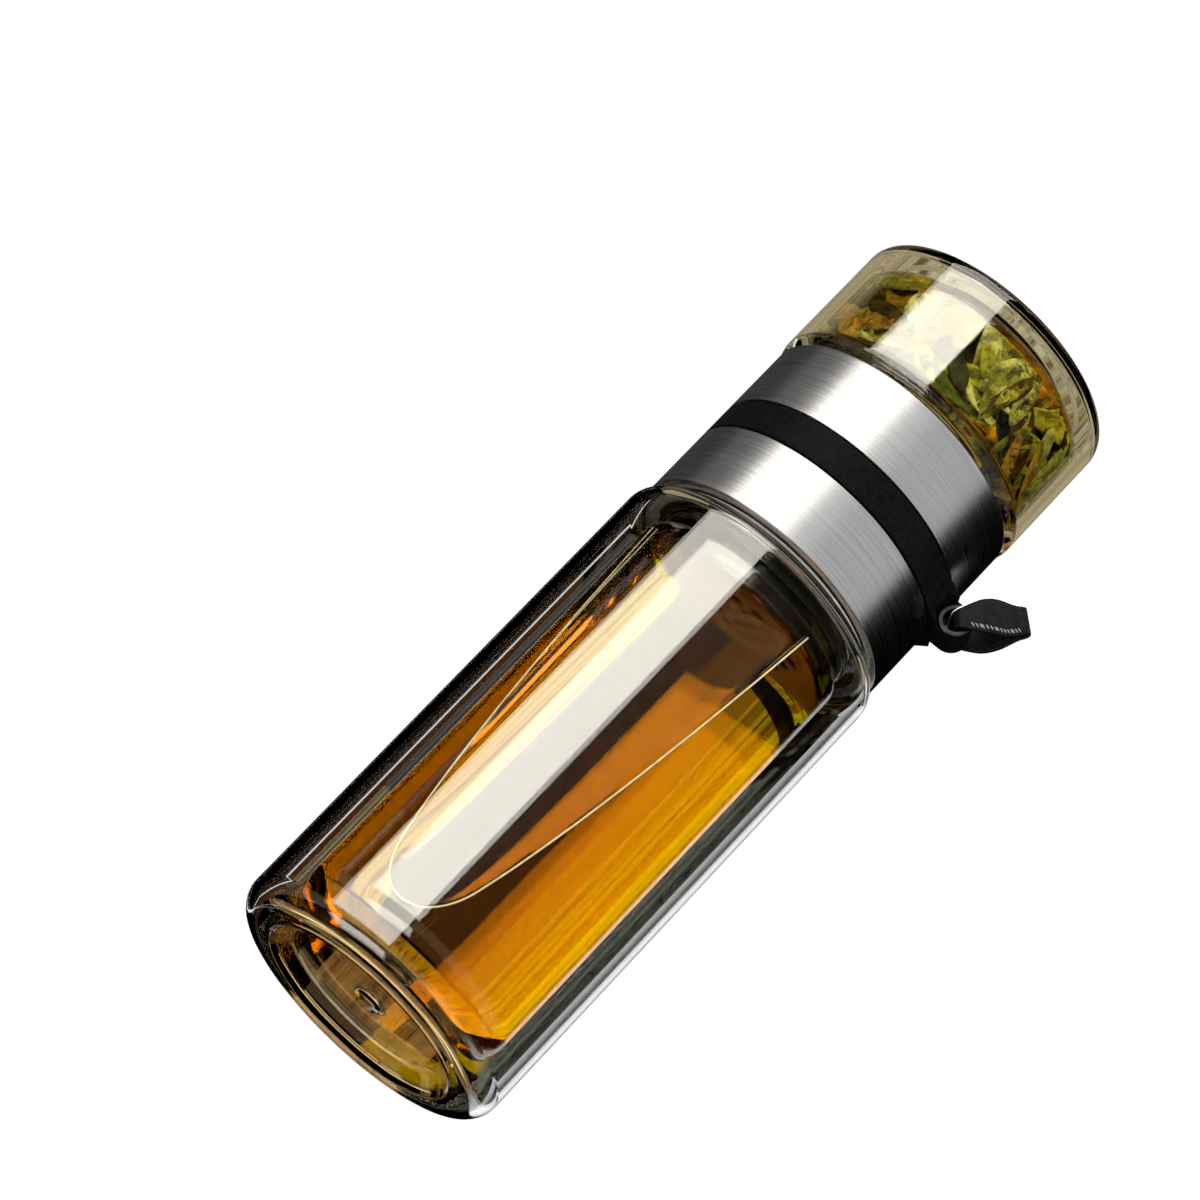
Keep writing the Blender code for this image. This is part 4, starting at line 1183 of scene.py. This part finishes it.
# Far panels that only clear glass sees: first and last angle, low and high end, level, colour and streaks
FAR_RADIUS = 0.54
FAR_PANELS = [
    ("brown_panel", 112, 147, VIEW_LOW, VIEW_HIGH, 0.36, (1.0, 0.42, 0.14), False),
    ("dark_left", 147, 156, VIEW_LOW, VIEW_HIGH, 0.12, (1.0, 0.4, 0.14), False),
    ("left_panel", 156, 167, VIEW_LOW, VIEW_HIGH, 0.9, WHITE, True),
    ("dark_middle", 175, 189, VIEW_LOW, VIEW_HIGH, 0.06, (1.0, 0.6, 0.3), False),
    ("amber_start", 189, 195, VIEW_LOW, VIEW_HIGH, 0.24, (1.0, 0.8, 0.6), False),
    ("amber_panel", 195, 205, VIEW_LOW, VIEW_HIGH, 0.46, (0.95, 1.0, 0.8), True),
    ("amber_dim", 205, 212, VIEW_LOW, VIEW_HIGH, 0.26, (1.0, 0.85, 0.7), True),
    ("amber_edge", 212, 236, VIEW_LOW, VIEW_HIGH, 0.95, (0.8, 1.0, 0.6), True),
    ("gold_edge", 235, 256, VIEW_LOW, 0.2, 1.3, (1.0, 0.85, 0.5), True),
    ("dim_edge", 235, 256, 0.2, VIEW_HIGH, 0.4, WHITE, False),
    ("cup_panel", 125, 245, 0.34, 0.85, 0.52, (1.0, 0.9, 0.55), True),
    ("low_panel", 150, 215, -0.6, -0.25, 1.4, (1.0, 0.7, 0.3), True),
    ("low_streaks", 130, 230, -0.25, -0.02, 0.42, (1.0, 0.5, 0.12), True),
    ("low_back", 130, 230, -0.02, 0.1, 0.45, (1.0, 0.82, 0.5), False),
    ("low_ring", 230, 490, -0.25, 0.1, 0.4, (1.0, 0.82, 0.5), False),
]
CARD_STEP = 3

# Streaks along a panel: noise, its stretch, and how much red, green and blue the dark ones keep
STREAK_SCALE = 60
STREAK_STRETCH = (1, 1, 0.03)
STREAK_DARK = (0.3, 0.2, 0.1)
STREAK_STOPS = (0.42, 0.54)

# Flat cards close behind the body, the fins edge-on to the view: both ends, in millimetres to the right of the
# axis and behind it, and level
FLAG_LOW = Vector((0, 0, -0.03))
FLAG_HIGH = Vector((0, 0, 0.165))
FLAGS = [
    ("left_line", (-37.2, 44.5), (-36.0, 44.5), 1.0),
    ("right_line", (43, 44.5), (62, 44.5), 1.0),
    ("left_flag", (-165, 45), (-11, 45), 0.0),
    ("right_flag", (18.5, 45), (165, 45), 0.0),
    ("inner_fin", (8, 32.8), (8, 39.5), 0.0),
    ("outer_fin", (12, 34), (12, 42), 0.0),
]

# The floor: how far below the bottle it lies, and where it begins to fade and is gone
FLOOR_DROP = 0.2 * MM
FLOOR_FADE_START = 0.2
FLOOR_FADE_END = 0.5

# What lights the bottle from all round
BACKDROP_COLOUR = (0.9, 0.95, 1.0)
BACKDROP_LEVEL = 0.35

LIGHT_BOUNCES = 28
CLEAR_BOUNCES = 16


def make_camera():
    forward = CAMERA_FORWARD.normalized()
    right = (CAMERA_RIGHT - forward * CAMERA_RIGHT.dot(forward)).normalized()
    data = bpy.data.cameras.new("camera")
    data.lens = CAMERA_LENS
    data.clip_start = CAMERA_NEAR
    camera = add_object("camera", data)
    turn = Matrix((right, right.cross(forward), -forward)).transposed()
    camera.matrix_world = Matrix.Translation(CAMERA_EYE) @ turn.to_4x4()
    bpy.context.scene.camera = camera


def add_lamp(name, place, size, power):
    data = bpy.data.lights.new(name, "AREA")
    data.shape = "DISK"
    data.size = size
    data.energy = power
    lamp = add_object(name, data)
    lamp.location = place
    lamp.rotation_euler = (LAMP_AIM - Vector(place)).to_track_quat("-Z", "Y").to_euler()
    lamp.visible_glossy = False
    lamp.visible_transmission = False


def card_material(name, sharp, soft, near, colour=WHITE, streaked=False):
    """A card that lights by reflection alone. A near card is there for clear glass only."""
    made, nodes, links, shader = new_material(name)
    nodes.remove(shader)
    clear = nodes.new("ShaderNodeLightPath").outputs["Is Singular Ray"]
    glow = nodes.new("ShaderNodeEmission")
    links.new(to_range(nodes, links, clear, soft, sharp), glow.inputs["Strength"])
    put(glow, {"Color": (*colour, 1.0)})
    if streaked:
        streaks = noise(nodes, links, STREAK_SCALE, STREAK_STRETCH, detail=6.0, roughness=0.8)
        dark = tuple(c * share for c, share in zip(colour, STREAK_DARK))
        links.new(ramp(nodes, links, streaks, list(zip(STREAK_STOPS, (dark, colour)))), glow.inputs["Color"])
    result = glow.outputs["Emission"]
    if near:
        through = nodes.new("ShaderNodeBsdfTransparent")
        result = mixed(nodes, links, clear, through.outputs["BSDF"], result)
    links.new(result, nodes["Material Output"].inputs["Surface"])
    made.cycles.emission_sampling = "NONE"
    return made


def stage_card(name, work, look):
    card = link(name, to_mesh(name, work), look)
    card.visible_camera = False
    card.visible_diffuse = False
    card.visible_shadow = False
    return card


def add_card(name, first, last, look, radius=RING_RADIUS, low=RING_LOW, high=RING_HIGH):
    """A curved card round the bottle, between two angles that are counted from the camera's side."""
    steps = max(2, round(abs(last - first) / CARD_STEP))
    work = bmesh.new()
    rows = []
    for k in range(steps + 1):
        angle = math.radians(CAMERA_AZIMUTH + first + (last - first) * k / steps)
        x, y = radius * math.cos(angle), radius * math.sin(angle)
        rows.append((work.verts.new((x, y, low)), work.verts.new((x, y, high))))
    for (a, b), (c, d) in zip(rows, rows[1:]):
        work.faces.new((a, c, d, b))
    stage_card(name, work, look)


def add_lid(name, height, soft):
    work = bmesh.new()
    bmesh.ops.create_circle(work, cap_ends=True, segments=LID_SIDES, radius=RING_RADIUS)
    lid = stage_card(name, work, card_material(name, 0.0, soft, False))
    lid.location.z = height


def add_flag(name, first, last, level):
    """An upright flat card between two places, for clear glass only."""
    azimuth = math.radians(CAMERA_AZIMUTH)
    away = Vector((-math.cos(azimuth), -math.sin(azimuth), 0))
    side = Vector((-math.sin(azimuth), math.cos(azimuth), 0))
    start, end = [(side * across + away * depth) * MM for across, depth in (first, last)]
    work = bmesh.new()
    corners = [start + FLAG_LOW, end + FLAG_LOW, end + FLAG_HIGH, start + FLAG_HIGH]
    work.faces.new([work.verts.new(corner) for corner in corners])
    stage_card(name, work, card_material(name, level, level, True))


def make_cards():
    for name, first, last, sharp, soft, colour in RING_CARDS:
        add_card(name, first, last, card_material(name, sharp, soft, False, colour))
    for name, first, last, low, high, level, colour, streaked in FAR_PANELS:
        look = card_material(name, level, 0.0, True, colour, streaked)
        add_card(name, first, last, look, FAR_RADIUS, low, high)
    add_lid("lid_below", RING_LOW, 0.0)
    add_lid("lid_above", RING_HIGH, LID_LEVEL)
    for flag in FLAGS:
        add_flag(*flag)


def make_floor():
    """A pale floor that fades into the white backdrop. It is clear from below, as the photograph looks up."""
    made, nodes, links, shader = new_material("pale_floor")
    put(shader, {"Base Color": (0.86, 0.86, 0.86, 1), "Roughness": 0.9})
    geometry = nodes.new("ShaderNodeNewGeometry")
    place = nodes.new("ShaderNodeTexCoord")
    away = nodes.new("ShaderNodeVectorMath")
    away.operation = "LENGTH"
    links.new(place.outputs["Object"], away.inputs[0])
    fade = nodes.new("ShaderNodeMapRange")
    fade.interpolation_type = "SMOOTHSTEP"
    put(fade, {"From Min": FLOOR_FADE_START, "From Max": FLOOR_FADE_END})
    links.new(away.outputs["Value"], fade.inputs["Value"])
    clear = nodes.new("ShaderNodeMath")
    clear.operation = "MAXIMUM"
    links.new(geometry.outputs["Backfacing"], clear.inputs[0])
    links.new(fade.outputs["Result"], clear.inputs[1])
    through = nodes.new("ShaderNodeBsdfTransparent")
    seen = mixed(nodes, links, clear.outputs["Value"], shader.outputs["BSDF"], through.outputs["BSDF"])
    links.new(seen, nodes["Material Output"].inputs["Surface"])
    work = bmesh.new()
    bmesh.ops.create_grid(work, x_segments=1, y_segments=1, size=FLOOR_FADE_END)
    floor = link("floor", to_mesh("floor", work), made)
    floor.location = (0, 0, -FLOOR_DROP)
    floor.visible_glossy = False
    floor.visible_transmission = False


def make_world():
    """White where a camera, glossy or transmission ray looks, and a soft pale light for all else."""
    world = bpy.data.worlds.new("studio")
    bpy.context.scene.world = world
    world.use_nodes = True
    nodes, links = world.node_tree.nodes, world.node_tree.links
    nodes.clear()
    path = nodes.new("ShaderNodeLightPath")
    seen = path.outputs["Is Camera Ray"]
    for ray in ("Is Glossy Ray", "Is Transmission Ray"):
        either = nodes.new("ShaderNodeMath")
        either.operation = "MAXIMUM"
        links.new(seen, either.inputs[0])
        links.new(path.outputs[ray], either.inputs[1])
        seen = either.outputs["Value"]
    plain = nodes.new("ShaderNodeBackground")
    put(plain, {"Color": (*BACKDROP_COLOUR, 1), "Strength": BACKDROP_LEVEL})
    white = nodes.new("ShaderNodeBackground")
    put(white, {"Color": (*WHITE, 1), "Strength": 1.0})
    backdrop = mixed(nodes, links, seen, plain.outputs["Background"], white.outputs["Background"])
    output = nodes.new("ShaderNodeOutputWorld")
    links.new(backdrop, output.inputs["Surface"])


make_camera()
make_outer_glass()
make_inner_glass()
make_collars()
make_cup_outer_glass()
make_cup_inner_glass()
make_body_tea()
make_meniscus_highlight()
make_cup_tea()
make_band()
make_eyelet()
make_strap()
make_basket()
make_shoulder_gasket()
make_leaves()
make_floor()
make_world()
make_cards()
for lamp in LAMPS:
    add_lamp(*lamp)

node_looks = {
    silicone: ("mouth_gasket", "cup_gasket", "strainer_seal"),
    black_plastic: ("neck_insert", "collar_liner", "strainer_rim"),
}
for look, names in node_looks.items():
    for name in names:
        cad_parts[name].material_slots[0].material = look

scene = bpy.context.scene
scene.view_settings.view_transform = "Standard"
scene.cycles.max_bounces = LIGHT_BOUNCES
scene.cycles.transmission_bounces = LIGHT_BOUNCES
scene.cycles.transparent_max_bounces = CLEAR_BOUNCES
